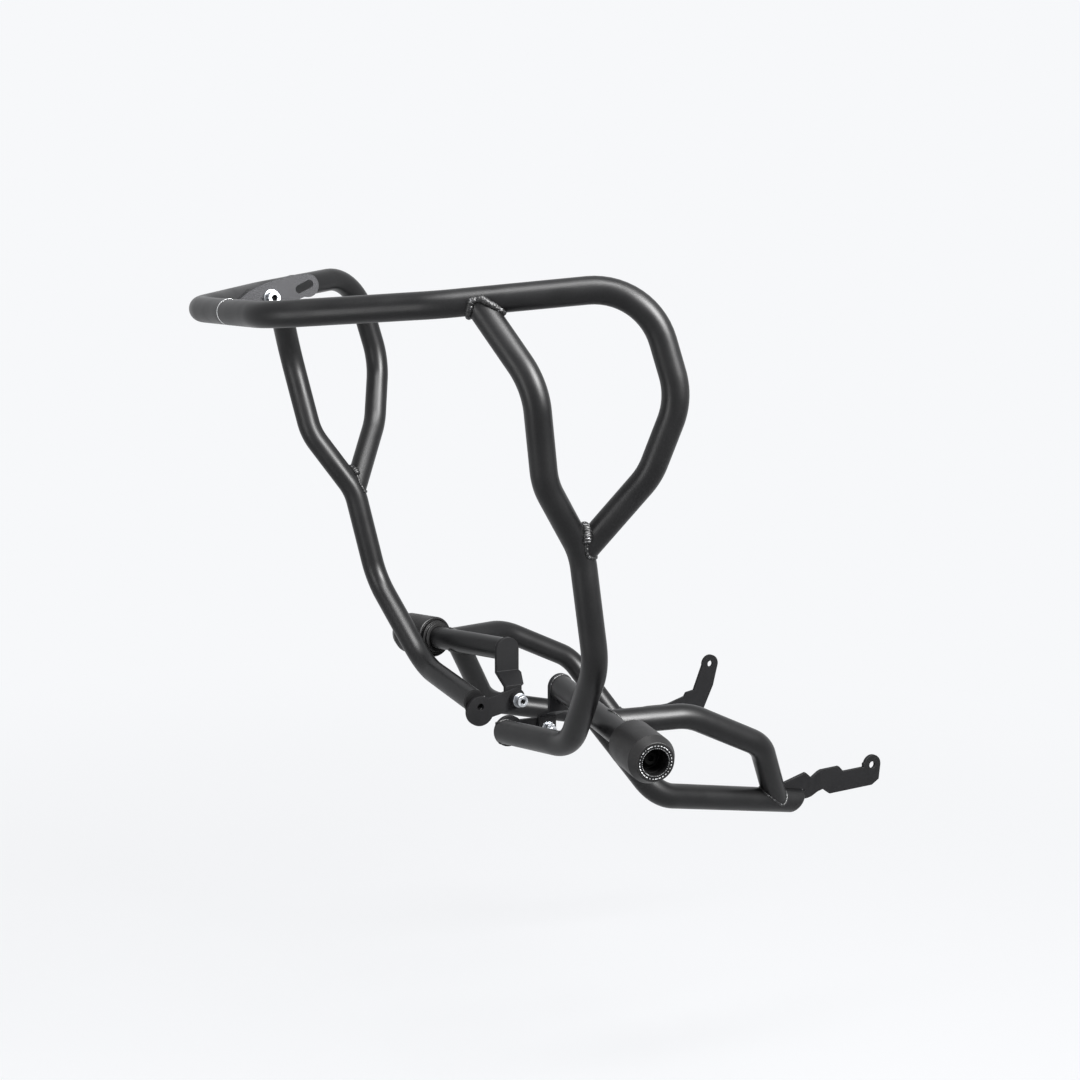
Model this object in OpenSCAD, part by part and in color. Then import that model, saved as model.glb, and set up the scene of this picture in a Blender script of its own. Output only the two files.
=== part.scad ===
// Crash bars for a motorcycle: an upper guard in two bolted halves and two lower slider guards.
// +X points to the front wheel, +Y to the rider's left, +Z up.
// The origin is the centre of the front bracket's slot, on the motorcycle's middle plane.

/* [Tube] */
// Outside diameter of every frame tube
tube_d = 27; // [24:0.5:30]
// Wall of every frame tube
tube_wall = 2.5; // [1.5:0.1:3.5]
// Gap at each coped end, which the weld fills
cope_gap = 0.05; // [0.02:0.01:0.3]

/* [Upper guard] */
// Distance of the front joint from the slot, forwards
joint_ahead = 82; // [70:1:95]
// Distance of the front joint from the slot, downwards
joint_below = 25; // [18:1:32]
// Half the width of the straight front stretch, to its bend's corner
front_half = 102; // [85:1:115]
// Corner of the shoulder, behind the joint
shoulder_back = 122; // [110:1:134]
// Corner of the shoulder, from the middle plane
shoulder_half = 238; // [228:1:250]
// Rise of the top tube from the joint to the shoulder
shoulder_rise = 12; // [5:1:20]
// Corner at the rear end of the top tube, behind the joint
rear_back = 288; // [270:1:310]
// Corner at the rear end of the top tube, from the middle plane
rear_half = 343; // [325:1:360]
// Rise of the top tube from the joint to its rear end
rear_rise = 31; // [20:1:45]
// How far the outer tube bows back past the rear corner
bow_back = 35; // [20:1:50]
// Distance of the widest corner from the middle plane
widest_half = 348; // [330:1:365]
// Depth of the widest corner below the joint
widest_drop = 77; // [65:1:95]
// Depth of the tuck, where the outer tube turns inwards, below the joint
tuck_drop = 152; // [140:1:170]
// Distance of the tuck's corner behind the joint
tuck_back = 306; // [295:1:320]
// Distance of the tuck's corner from the middle plane
tuck_half = 323; // [310:1:335]
// Bend radius of the front corner
front_bend_r = 78; // [60:1:90]
// Bend radius of the shoulder, measured on the tube's axis
shoulder_bend_r = 120; // [80:5:140]
// Bend radius of the rear corner
rear_bend_r = 68; // [50:1:75]
// Bend radius of the widest corner and of the tuck
bow_bend_r = 75; // [50:1:80]
// Gap between the two halves, filled by the spigot's collar
joint_gap = 1.6; // [1:0.1:4]

/* [Strut] */
// Strut's top end, along the top tube behind the shoulder's corner
strut_set = 36; // [34:1:50]
// Knee of the strut below the joint
knee_drop = 63; // [50:1:75]
// Knee of the strut behind the joint
knee_back = 188; // [180:1:196]
// Knee of the strut from the middle plane
knee_half = 307; // [300:1:315]
// Shin corner of the strut below the joint
shin_drop = 159; // [148:1:170]
// Depth of the Y joint below the front joint
fork_drop = 231; // [220:1:242]
// Distance of the Y joint behind the front joint
fork_back = 257; // [248:1:266]
// Distance of the Y joint from the middle plane
fork_half = 277; // [270:1:285]
// Depth of the ankle corner below the joint
ankle_drop = 346; // [335:1:356]
// Depth of the heel corner below the joint
heel_drop = 446; // [436:1:456]
// Distance of the heel corner from the middle plane
heel_half = 187; // [175:1:198]
// Distance of the strut's inner end from the middle plane
foot_half = 49; // [42:1:56]
// Depth of the strut's inner end below the joint
foot_drop = 461; // [452:1:470]
// Distance of the strut's inner end behind the joint
foot_back = 298; // [290:1:306]
// Bend radius of the strut
strut_bend_r = 70; // [50:1:72]

/* [Lower guard] */
// How much lower the left lower guard sits than the right one
guard_drop = 13; // [0:1:20]
// How much further forward the left lower guard sits than the right one
guard_lead = 12; // [0:1:20]
// How much further out the right lower guard sits than the left one
guard_out = 11; // [8:1:13]
// Cross tube's inner end, from the middle plane
cross_in = 76; // [70:1:82]
// Cross tube's inner end, behind the joint
cross_in_back = 355; // [348:1:362]
// Depth of the cross tube's inner end below the joint
cross_drop = 411; // [404:1:418]
// How far the cross tube runs forwards for each 100 mm outwards
cross_lead = 18; // [12:1:22]
// How far the cross tube falls for each 100 mm outwards
cross_fall = 5.5; // [2:0.5:9]
// Left slider's inner end, along the cross tube from the tube's inner end
slider_start = 205; // [198:1:215]
// How much nearer to the middle the right slider sits
right_less = 70; // [60:1:71]
// Upper loop's root on the left, along the cross tube from its inner end
root_far = 140; // [134:1:150]
// How much nearer to the middle the upper loop's root is on the right
root_less = 27; // [22:1:34]
// Lower loop's root, along the cross tube from its inner end
root_near = 97; // [92:1:104]
// Run of the upper loop from the left root back to its top corner
loop_run = 98; // [90:1:106]
// Upper loop's heel corner, ahead of the loop's rear end
loop_heel_ahead = 81; // [74:1:88]
// Rise of that corner above the loop's rear end
loop_heel_rise = 85; // [78:1:92]
// Depth of the lower loop's toe corner below its root
loop_toe_drop = 91; // [84:1:98]
// Rear end of the loop, behind the joint
loop_back = 606; // [590:1:625]
// Rear end of the loop, from the middle plane
loop_half = 178; // [168:1:188]
// Rear end of the loop, below the joint
loop_drop = 551; // [540:1:562]
// Bend radius of the loops
loop_bend_r = 45; // [36:1:50]

/* [Slider] */
// Diameter of the slider
slider_d = 50; // [44:0.5:56]
// Length of the slider's full-width body
slider_body = 53; // [45:1:62]
// Length of the slider's stepped inner end
slider_neck = 7; // [4:0.5:10]
// Diameter of the slider's outer face
slider_face_d = 40; // [38:0.5:43]
// Length of the chamfer behind the outer face
slider_chamfer = 11; // [5:1:18]
// Outside diameter of the ring in the outer face
ring_d = 35; // [32:0.5:36.5]
// Depth of the ring
ring_depth = 10; // [6:0.5:14]
// How far the cross tube's end stops short of the outer face
face_recess = 26; // [20:1:36]
// Clearance between the slider and the cross tube
slider_play = 0.1; // [0.05:0.05:0.3]
// Thickness of the slider's inner lip, which the screw holds against the tube's end
lip_t = 3; // [2:0.5:5]
// Radius of the hole in the lip
lip_r = 6; // [5:0.5:8]
// Length of the threaded plug in the cross tube's outer end
plug_l = 22; // [16:1:30]

/* [Plates] */
// Thickness of the front bracket and its tab
bracket_t = 4; // [3:0.5:6]
// Thickness of the engine plates and of the guard brackets
plate_t = 5; // [4:0.5:6]
// Diameter of the mounting holes in the engine plates
engine_hole_d = 8.4; // [6.4:0.1:10.5]
// Diameter of the mounting holes in the rear brackets
rear_hole_d = 8.4; // [6.4:0.1:10.5]
// Width of the front bracket's slot
slot_w = 9; // [7:0.5:10]
// Length of the front bracket's slot, end to end
slot_l = 21; // [16:0.5:24]
// Distance from the engine plate's mounting hole to the guard screw
arm_l = 46; // [42:1:52]
// Radius of the engine plate's lobe, round the strut's end
plate_lobe_r = 17.5; // [16:0.5:20]
// Radius of the engine plate's end, round the guard screw
plate_end_r = 12.5; // [11:0.5:14]
// Half the width of the guard bracket's tab
tab_r = 11; // [9.5:0.5:12]
// How far the guard bracket's head stands out past the cross tube
head_margin = 1.5; // [1:0.5:3]
// Thickness of the rear brackets
rear_t = 4; // [3:0.5:5]
// Step of the rear brackets towards the middle
rear_step = 6; // [4:0.5:8]
// Radius of the rear brackets' lobe, round the hole
rear_lobe_r = 12; // [10:0.5:14]

/* [Fasteners] */
// Thread diameter of the screws
screw_d = 8; // [6:0.5:8]
// Diameter of a socket head
head_d = 13; // [11:0.5:14]
// Height of a socket head
head_h = 8; // [6:0.5:9]
// Width of a nut across its flats
nut_w = 13; // [12.5:0.5:14]
// Height of a nut
nut_h = 6.5; // [5:0.5:8]
// Diameter of a washer
washer_d = 17; // [16:0.5:20]
// Thickness of a washer
washer_t = 1.6; // [1:0.1:2.5]
// Height of the boss under the guard screw's head
boss_h = 9; // [6:0.5:12]
// Clearance of a screw in its hole, on the diameter
screw_play = 0.4; // [0.2:0.1:1]
// Length of the spigot inside the front joint
spigot_l = 60; // [40:2:80]
// Clearance between the spigot and the tube's bore, on the radius
spigot_play = 0.1; // [0.05:0.05:0.3]

/* [Hidden] */
$fn = 96;
// A tube's wall thins a little as it is bent, and each straight stretch laps the bend's ends
bend_thinning = 0.03;
lap = 0.6;
tube_r = tube_d / 2;
bore_r = tube_r - tube_wall;
black = "#2b2b2d";
plastic = "#323234";
zinc = "#c9cccf";
grey_steel = "#4a4a4d";
// Cutters run past the faces they cut by this much
past = 1;
slider_len = slider_chamfer + slider_body + slider_neck;
guard_grip = 2 * plate_t;
// Centre of the front screw in the plane of the bracket
clamp_at = [37, -11];
hex_socket = 0.86 * screw_d;
socket_depth = 4;
thread_end = 3;
flange_t = 2;
ring_proud = 0.6;
// Slant and thickness of the lower loop's closed rear end
end_slant = -40;
cap_t = 3;

// Places on the left half, as offsets from the joint's centre
joint_at = [joint_ahead, 0, -joint_below];
joint_end = [0, joint_gap / 2, 0];
front_corner = [0, front_half, 0];
shoulder = [-shoulder_back, shoulder_half, shoulder_rise];
rear_corner = [-rear_back, rear_half, rear_rise];
widest = [-rear_back - bow_back, widest_half, -widest_drop];
tuck = [-tuck_back, tuck_half, -tuck_drop];
knee = [-knee_back, knee_half, -knee_drop];
shin = [-knee_back - 19, knee_half - 15, -shin_drop];
fork = [-fork_back, fork_half, -fork_drop];
strut_top = shoulder + strut_set * unit(rear_corner - shoulder);
ankle = [-fork_back - 23, fork_half - 5, -ankle_drop];
heel = [-foot_back - 4, heel_half, -heel_drop];
foot = [-foot_back, foot_half, -foot_drop];
cross_inner = [-cross_in_back, cross_in, -cross_drop];
cross_axis = unit([cross_lead, 100, -cross_fall]);
lower_root = cross_inner + root_near * cross_axis;
loop_end = [-loop_back, loop_half, -loop_drop];
loop_top = cross_inner + root_far * cross_axis + [-loop_run, 8, -2];
loop_heel = loop_end + [loop_heel_ahead, loop_heel_ahead / 2, loop_heel_rise];
loop_toe = lower_root + [-0.65 * loop_toe_drop, 0.42 * loop_toe_drop, -loop_toe_drop];
loop_joint = loop_end + 0.16 * (loop_toe - loop_end);

function unit(v) = v / norm(v);
// A place on one side: side is 1 on the left and -1 on the right, share is how much of the guard's shift it takes
function at(p, side, share = 0) = joint_at + p + side * share * [guard_lead, 0, -guard_drop] / 2;
function main_route(side) = [for (p = [joint_end, front_corner, shoulder, rear_corner, widest, tuck, fork]) at(p, side)];
function strut_route(side) = [at(strut_top, side), at(knee, side), at(shin, side), at(fork, side),
  at(ankle, side, 0.5), at(heel, side, 1), at(foot, side, 1)];
// A place on one side's lower guard: the right one sits further out, and a little further back and lower
function guard_at(p, side) = at(p, side, 1) + (side > 0 ? [0, 0, 0] : guard_out * [-0.45, 1, -0.18]);
function along(length) = cross_inner + length * cross_axis;
function face_reach(side) = slider_start + slider_len - (side > 0 ? 0 : right_less);
function face(side) = guard_at(along(face_reach(side)), side);
function cross_end(side) = guard_at(along(face_reach(side) - face_recess), side);
function upper_root(side) = along(side > 0 ? root_far : root_far - root_less);
function upper_route(side) = [for (p = [upper_root(side), loop_top, loop_heel, loop_joint]) guard_at(p, side)];
function lower_route(side) = [for (p = [lower_root, loop_toe, loop_end]) guard_at(p, side)];
main_bends = [front_bend_r, shoulder_bend_r, rear_bend_r, bow_bend_r, bow_bend_r];
strut_bends = [strut_bend_r, strut_bend_r, strut_bend_r, strut_bend_r, strut_bend_r];
upper_bends = [1.6 * loop_bend_r, loop_bend_r];
lower_bends = [loop_bend_r];

// Turns the Z axis to the direction d and moves the origin to p
module aim(p, d) {
  u = unit(d);
  translate(p) rotate([0, acos(u[2]), atan2(u[1], u[0])]) children();
}

// Draws one side's part: the right side is the left one's mirror image
module handed(side) {
  if (side > 0) children();
  else mirror([0, 1, 0]) children();
}

// Section of a tube, solid where the wall is 0
module section(r, wall) {
  difference() {
    circle(r);
    if (wall > 0) circle(r - wall);
  }
}

module straight(a, b, r, wall) {
  aim(a, b - a) linear_extrude(norm(b - a)) section(r, wall);
}

// Arc of a bent tube at the corner p, between the directions to a and b
module bend(a, p, b, bend_r, r, wall) {
  u = unit(a - p);
  w = unit(b - p);
  half = acos(u * w) / 2;
  centre = p + unit(u + w) * bend_r / sin(half);
  start = p + u * bend_r / tan(half);
  x = unit(start - centre);
  z = unit(cross(x, -u));
  y = cross(z, x);
  multmatrix([[x[0], y[0], z[0], centre[0]], [x[1], y[1], z[1], centre[1]],
    [x[2], y[2], z[2], centre[2]], [0, 0, 0, 1]])
    rotate_extrude(angle = 180 - 2 * half) translate([bend_r, 0])
      section(r - bend_thinning, wall > 0 ? wall - 2 * bend_thinning : 0);
}

// Length that the bend at corner i takes from each stretch beside it
function lead(route, bends, i) = (i == 0 || i == len(route) - 1) ? 0 :
  bends[i - 1] / tan(acos(unit(route[i - 1] - route[i]) * unit(route[i + 1] - route[i])) / 2);

// Straight stretch i of a tube along a list of corners
module stretch(route, bends, i, r, wall) {
  d = unit(route[i + 1] - route[i]);
  start = i == 0 ? 0 : lead(route, bends, i) - lap;
  stop = i == len(route) - 2 ? 0 : lead(route, bends, i + 1) - lap;
  straight(route[i] + start * d, route[i + 1] - stop * d, r, wall);
}

// The bends and the stretches first to last of a tube along a list of corners
module bent_tube(route, bends, r, wall, first, last) {
  for (i = [first:last]) stretch(route, bends, i, r, wall);
  for (i = [1:len(route) - 2]) bend(route[i - 1], route[i], route[i + 1], bends[i - 1], r, wall);
}

// Plate in the XZ plane, from the Y given and thickness t towards +Y
module upright(y, t) {
  translate([0, y + t, 0]) rotate([90, 0, 0]) linear_extrude(t) children();
}

// The strut's solid round the Y joint, as its two straight stretches
module fork_stretches(side, r) {
  route = strut_route(side);
  straight((route[2] + route[3]) / 2, route[3] + tube_r * unit(route[3] - route[2]), r, 0);
  straight(route[3] + tube_r * unit(route[3] - route[4]), (route[3] + route[4]) / 2, r, 0);
}

// The top tube's solid where the strut's top fits it
module top_stretch(side, r) {
  route = main_route(side);
  straight(route[2], route[3], r, 0);
}

module main_tube(side) {
  route = main_route(side);
  color(black) handed(side) {
    bent_tube(route, main_bends, tube_r, tube_wall, 0, 4);
    difference() {
      stretch(route, main_bends, 5, tube_r, tube_wall);
      fork_stretches(side, tube_r + 10 * cope_gap);
    }
  }
}

module strut_tube(side) {
  route = strut_route(side);
  end = route[6];
  color(black) handed(side) {
    difference() {
      stretch(route, strut_bends, 0, tube_r, tube_wall);
      top_stretch(side, tube_r + cope_gap);
    }
    bent_tube(route, strut_bends, tube_r, tube_wall, 1, 4);
    difference() {
      stretch(route, strut_bends, 5, tube_r, tube_wall);
      translate(end + [-2 * tube_d, -tube_d, -2 * tube_d]) cube([4 * tube_d, tube_d, 4 * tube_d]);
    }
  }
}

function plate_y(side) = at(foot, side, 1)[1] - plate_t;
// The right plate hangs lower from its tube than the left one
function engine_hole(side) = at(foot, side, 1) + [-6, 0, side > 0 ? -3 : -7];
function plate_lobe(side) = at(foot, side, 1) + [-6, 0, side > 0 ? 0 : -12];
function guard_hole(side) = at(foot, side, 1) + [-6 - arm_l, 0, -2];

// Round hole along Y through the place p, from y_low to y_high
module cross_hole(p, y_low, y_high, d) {
  translate([p[0], y_high + past, p[2]]) rotate([90, 0, 0]) cylinder(h = y_high - y_low + 2 * past, d = d);
}

module engine_plate(side) {
  hole = engine_hole(side);
  bolt = guard_hole(side);
  low = plate_y(side);
  lobe = plate_lobe(side);
  arm = plate_lobe_r - 6;
  color(black) handed(side) difference() {
    upright(low, plate_t) union() {
      translate([lobe[0], lobe[2]]) circle(plate_lobe_r);
      translate([bolt[0], bolt[2]]) circle(plate_end_r);
      polygon([[bolt[0], bolt[2] - plate_end_r], [lobe[0], lobe[2] - arm], [lobe[0], lobe[2] + arm],
        [bolt[0], bolt[2] + plate_end_r]]);
    }
    cross_hole(hole, low, low + plate_t, engine_hole_d);
    cross_hole(bolt, low, low + plate_t, screw_d + screw_play);
  }
}

module cross_tube(side) {
  start = guard_at(cross_inner, side);
  color(black) handed(side) difference() {
    straight(start - 10 * cross_axis, cross_end(side), tube_r, tube_wall);
    translate(start + [-2 * tube_d, -2 * tube_d, -2 * tube_d]) cube([4 * tube_d, 2 * tube_d, 4 * tube_d]);
  }
}

// The cross tube's solid, which the loops' roots fit
module cross_solid(side) {
  straight(guard_at(cross_inner, side), cross_end(side), tube_r + cope_gap, 0);
}

module upper_loop(side) {
  route = upper_route(side);
  lower = lower_route(side);
  color(black) handed(side) {
    difference() {
      stretch(route, upper_bends, 0, tube_r, tube_wall);
      cross_solid(side);
      straight(lower[0], lower[1], tube_r + cope_gap, 0);
    }
    bent_tube(route, upper_bends, tube_r, tube_wall, 1, 1);
    difference() {
      stretch(route, upper_bends, 2, tube_r, tube_wall);
      straight(lower[1], lower[2] + tube_r * unit(lower[2] - lower[1]), tube_r + cope_gap, 0);
    }
  }
}

// The lower loop's last stretch, cut off on a slant where its rear end is closed
module slanted_stretch(side, r, wall, gap) {
  route = lower_route(side);
  d = unit(route[2] - route[1]);
  difference() {
    straight(route[1] + (lead(route, lower_bends, 1) - lap) * d, route[2] + tube_d * d, r, wall);
    translate(route[2]) rotate([0, end_slant, 0]) translate([-4 * tube_d - gap, -2 * tube_d, -2 * tube_d])
      cube([4 * tube_d, 4 * tube_d, 4 * tube_d]);
  }
}

module lower_loop(side) {
  route = lower_route(side);
  color(black) handed(side) {
    difference() {
      stretch(route, lower_bends, 0, tube_r, tube_wall);
      cross_solid(side);
    }
    bend(route[0], route[1], route[2], lower_bends[0], tube_r, tube_wall);
    slanted_stretch(side, tube_r, tube_wall, 0);
  }
}

// Plate that closes the lower loop's slanting rear end
module loop_cap(side) {
  route = lower_route(side);
  d = unit(route[2] - route[1]);
  color(black) handed(side) difference() {
    straight(route[2] - tube_d * d, route[2] + tube_d * d, bore_r - spigot_play, 0);
    translate(route[2]) rotate([0, end_slant, 0]) {
      translate([-4 * tube_d, -2 * tube_d, -2 * tube_d]) cube([4 * tube_d, 4 * tube_d, 4 * tube_d]);
      translate([cap_t, -2 * tube_d, -2 * tube_d]) cube([4 * tube_d, 4 * tube_d, 4 * tube_d]);
    }
  }
}

// Closes the cross tube's inner end and steps inwards to the engine plate
module guard_bracket(side) {
  top = guard_at(cross_inner, side);
  bolt = guard_hole(side);
  head = tube_r + head_margin;
  low_y = plate_y(side) + plate_t;
  fold_z = top[2] - 2 * tube_r;
  foot_z = fold_z - 2 * plate_t;
  crease = 0.4 * plate_t;
  high = top[2] + 2 * head;
  deep = bolt[2] - 2 * tab_r;
  color(black) handed(side) difference() {
    intersection() {
      translate([top[0] - 3 * head, 0, 0]) rotate([90, 0, 90]) linear_extrude(6 * head) polygon([
        [top[1], high], [top[1] - plate_t, high], [top[1] - plate_t, fold_z + crease],
        [low_y, foot_z + crease], [low_y, deep], [low_y + plate_t, deep],
        [low_y + plate_t, foot_z], [top[1], fold_z]]);
      upright(-tube_d, 2 * top[1]) union() {
        translate([top[0], top[2]]) circle(head);
        polygon([[top[0] + head, top[2]], [top[0] - head, top[2]], [top[0] - head, fold_z],
          [bolt[0] - tab_r, foot_z], [bolt[0] - tab_r, bolt[2]], [bolt[0] + tab_r, bolt[2]],
          [bolt[0] + tab_r, foot_z], [top[0] + head, fold_z]]);
        translate([bolt[0], bolt[2]]) circle(tab_r);
      }
    }
    cross_hole(bolt, low_y, top[1], screw_d + screw_play);
  }
}

// Strip seen from above, which steps inwards behind the loop's end
module rear_strip(end, t, step) {
  linear_extrude(400, center = true) polygon([[end[0] + 25, end[1] - t / 2], [end[0] + 25, end[1] + t / 2],
    [end[0] - 14, end[1] + t / 2], [end[0] - 32, end[1] + t / 2 - step], [end[0] - 140, end[1] + t / 2 - step],
    [end[0] - 140, end[1] - t / 2 - step], [end[0] - 33, end[1] - t / 2 - step], [end[0] - 15, end[1] - t / 2]]);
}

function rear_hole(side) = guard_at(loop_end, side) + (side > 0 ? [-111, 0, 26] : [-106, 0, 66]);

module rear_bracket(side) {
  end = guard_at(loop_end, side);
  hole = rear_hole(side);
  outline = side > 0 ?
    [[20, 24], [-10, 32], [-20, 24], [-37, 30], [-62, 31], [-69, 24], [-98, 25], [-98, 29], [-111, 38],
      [-123, 26], [-121, 8], [-111, 2], [-50, 0], [-40, 7], [-21, 2], [-4, 1], [20, 0]] :
    [[20, 16], [-41, 19], [-66, 26], [-69, 31], [-81, 33], [-94, 65], [-118, 65], [-111, 37], [-96, 6],
      [-60, -8], [20, -6]];
  color(black) handed(side) difference() {
    intersection() {
      translate([0, 0, end[2]]) rear_strip(end, rear_t, rear_step);
      translate([end[0], 0, end[2]]) upright(end[1] - 2 * tube_d, 4 * tube_d) union() {
        polygon(outline);
        translate([hole[0] - end[0], hole[2] - end[2]]) circle(rear_lobe_r);
      }
    }
    cross_hole(hole, end[1] - tube_d, end[1] + tube_d, rear_hole_d);
    slanted_stretch(side, tube_r + cope_gap, 0, cope_gap);
    stretch(upper_route(side), upper_bends, 2, tube_r + cope_gap, 0);
  }
}

// Turned slider: outer face at 0, towards the middle along +Z
module slider(side) {
  slider_r = slider_d / 2;
  hole_r = tube_r + slider_play;
  body_end = slider_chamfer + slider_body;
  neck = slider_neck / 2;
  seat = 0.02;
  color(plastic) handed(side) aim(face(side), -cross_axis) difference() {
    rotate_extrude() polygon([[hole_r, 0], [slider_face_d / 2, 0], [slider_r, slider_chamfer],
      [slider_r, body_end - 1], [slider_r - 1, body_end], [slider_r - 3, body_end], [slider_r - 3, body_end - 2],
      [slider_r - 4.5, body_end - 2], [slider_r - 4.5, body_end + neck], [slider_r - 7, body_end + neck],
      [slider_r - 7, slider_len], [hole_r, slider_len], [hole_r, face_recess - seat], [lip_r, face_recess - seat],
      [lip_r, face_recess - lip_t + seat], [hole_r, face_recess - lip_t + seat]]);
    translate([0, 0, -past]) cylinder(h = ring_depth + past, d = ring_d + 2 * slider_play);
  }
}

module slider_ring(side) {
  color(zinc) handed(side) aim(face(side), -cross_axis) translate([0, 0, -ring_proud]) difference() {
    cylinder(h = ring_depth + ring_proud, d = ring_d);
    translate([0, 0, -past]) cylinder(h = ring_depth + ring_proud + 2 * past, r = tube_r + slider_play);
  }
}

// Threaded plug welded in the cross tube's outer end
module tube_plug(side) {
  color(grey_steel) handed(side) aim(cross_end(side), -cross_axis) difference() {
    cylinder(h = plug_l, r = bore_r - spigot_play);
    translate([0, 0, -past]) cylinder(h = plug_l + 2 * past, d = screw_d);
  }
}

// Screw down the slider's bore, whose flange holds the slider's lip against the tube's end
module slider_screw(side) {
  color(zinc) handed(side) aim(cross_end(side), cross_axis) difference() {
    union() {
      translate([0, 0, thread_end - plug_l]) cylinder(h = plug_l, d = screw_d);
      translate([0, 0, lip_t]) cylinder(h = flange_t, r = bore_r + 1);
      translate([0, 0, lip_t]) cylinder(h = flange_t + head_h, d = head_d);
    }
    translate([0, 0, lip_t + flange_t + head_h - socket_depth])
      cylinder(h = socket_depth + past, d = hex_socket, $fn = 6);
  }
}

module guard_screw(side) {
  bolt = guard_hole(side);
  base = plate_y(side) - washer_t - boss_h;
  shank = boss_h + 2 * washer_t + guard_grip + nut_h + thread_end;
  color(zinc) handed(side) translate([bolt[0], base, bolt[2]]) rotate([-90, 0, 0]) difference() {
    union() {
      translate([0, 0, -head_h]) cylinder(h = head_h, d = head_d);
      cylinder(h = shank, d = screw_d);
    }
    translate([0, 0, -head_h - past]) cylinder(h = socket_depth + past, d = hex_socket, $fn = 6);
  }
}

module washer(y, bolt) {
  translate([bolt[0], y, bolt[2]]) rotate([-90, 0, 0]) difference() {
    cylinder(h = washer_t, d = washer_d);
    translate([0, 0, -past]) cylinder(h = washer_t + 2 * past, d = screw_d + screw_play);
  }
}

module guard_washers(side) {
  bolt = guard_hole(side);
  color(zinc) handed(side) {
    washer(plate_y(side) - washer_t - boss_h, bolt);
    washer(plate_y(side) + guard_grip, bolt);
  }
}

module guard_boss(side) {
  bolt = guard_hole(side);
  color(black) handed(side) translate([bolt[0], plate_y(side) - boss_h, bolt[2]]) rotate([-90, 0, 0])
    difference() {
      cylinder(h = boss_h, d = washer_d);
      translate([0, 0, -past]) cylinder(h = boss_h + 2 * past, d = screw_d + screw_play);
    }
}

module hex_nut(y, bolt) {
  translate([bolt[0], y, bolt[2]]) rotate([-90, 0, 0]) difference() {
    cylinder(h = nut_h, d = nut_w / cos(30), $fn = 6);
    translate([0, 0, -past]) cylinder(h = nut_h + 2 * past, d = screw_d);
  }
}

module guard_nut(side) {
  color(zinc) handed(side) hex_nut(plate_y(side) + guard_grip + washer_t, guard_hole(side));
}

// Joins the two halves of the upper guard from the inside
module joint_spigot() {
  color(zinc) translate(joint_at) rotate([90, 0, 0]) difference() {
    union() {
      cylinder(h = spigot_l, r = bore_r - spigot_play, center = true);
      cylinder(h = joint_gap, r = tube_r - 0.3, center = true);
    }
    cylinder(h = spigot_l + 2, r = bore_r - 4, center = true);
  }
}

module front_bracket() {
  color(grey_steel) difference() {
    upright(-bracket_t / 2, bracket_t) difference() {
      union() {
        polygon([[joint_ahead - 8, -joint_below - 9], [joint_ahead - 8, -joint_below + 10], [62, -5], [42, 4],
          [14, 12], [-5, 13], [-12, 4], [-3, -9.5], [32, -23], [62, -joint_below - 9]]);
        translate([-4, 1]) circle(12);
      }
      rotate(-25) union() {
        square([slot_l - slot_w, slot_w], center = true);
        for (s = [-1, 1]) translate([s * (slot_l - slot_w) / 2, 0]) circle(d = slot_w);
      }
      translate(clamp_at) circle(d = screw_d + screw_play);
    }
    translate(joint_at) rotate([90, 0, 0]) cylinder(h = 2 * tube_d, r = tube_r, center = true);
  }
}

// Tab of the other half, held behind the bracket by the front screw
module front_tab() {
  color(black) difference() {
    upright(-3 * bracket_t / 2, bracket_t) difference() {
      union() {
        polygon([[joint_ahead - 8, -joint_below - 9], [joint_ahead - 8, -joint_below + 11], [60, -2],
          [clamp_at[0], clamp_at[1] + 11], [clamp_at[0], clamp_at[1] - 11]]);
        translate(clamp_at) circle(11);
      }
      translate(clamp_at) circle(d = screw_d + screw_play);
    }
    translate(joint_at) rotate([90, 0, 0]) cylinder(h = 2 * tube_d, r = tube_r, center = true);
  }
}

function clamp_place(y) = [clamp_at[0], y, clamp_at[1]];

module front_screw() {
  color(zinc) translate(clamp_place(bracket_t / 2 + washer_t)) rotate([90, 0, 0]) difference() {
    union() {
      translate([0, 0, -head_h]) cylinder(h = head_h, d = head_d);
      cylinder(h = 2 * washer_t + 2 * bracket_t + nut_h + thread_end, d = screw_d);
    }
    translate([0, 0, -head_h - past]) cylinder(h = socket_depth + past, d = hex_socket, $fn = 6);
  }
}

module front_washers() {
  color(zinc) {
    washer(bracket_t / 2, clamp_place(0));
    washer(-3 * bracket_t / 2 - washer_t, clamp_place(0));
  }
}

module front_nut() {
  color(zinc) hex_nut(-3 * bracket_t / 2 - washer_t - nut_h, clamp_place(0));
}

main_tube(1);  // left_main_tube
main_tube(-1);  // right_main_tube
strut_tube(1);  // left_strut_tube
strut_tube(-1);  // right_strut_tube
engine_plate(1);  // left_engine_plate
engine_plate(-1);  // right_engine_plate
cross_tube(1);  // left_cross_tube
cross_tube(-1);  // right_cross_tube
upper_loop(1);  // left_upper_loop
upper_loop(-1);  // right_upper_loop
lower_loop(1);  // left_lower_loop
lower_loop(-1);  // right_lower_loop
loop_cap(1);  // left_loop_cap
loop_cap(-1);  // right_loop_cap
guard_bracket(1);  // left_guard_bracket
guard_bracket(-1);  // right_guard_bracket
rear_bracket(1);  // left_rear_bracket
rear_bracket(-1);  // right_rear_bracket
slider(1);  // left_slider
slider(-1);  // right_slider
slider_ring(1);  // left_slider_ring
slider_ring(-1);  // right_slider_ring
slider_screw(1);  // left_slider_screw
slider_screw(-1);  // right_slider_screw
tube_plug(1);  // left_tube_plug
tube_plug(-1);  // right_tube_plug
guard_screw(1);  // left_guard_screw
guard_screw(-1);  // right_guard_screw
guard_washers(1);  // left_guard_washers
guard_washers(-1);  // right_guard_washers
guard_boss(1);  // left_guard_boss
guard_boss(-1);  // right_guard_boss
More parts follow.
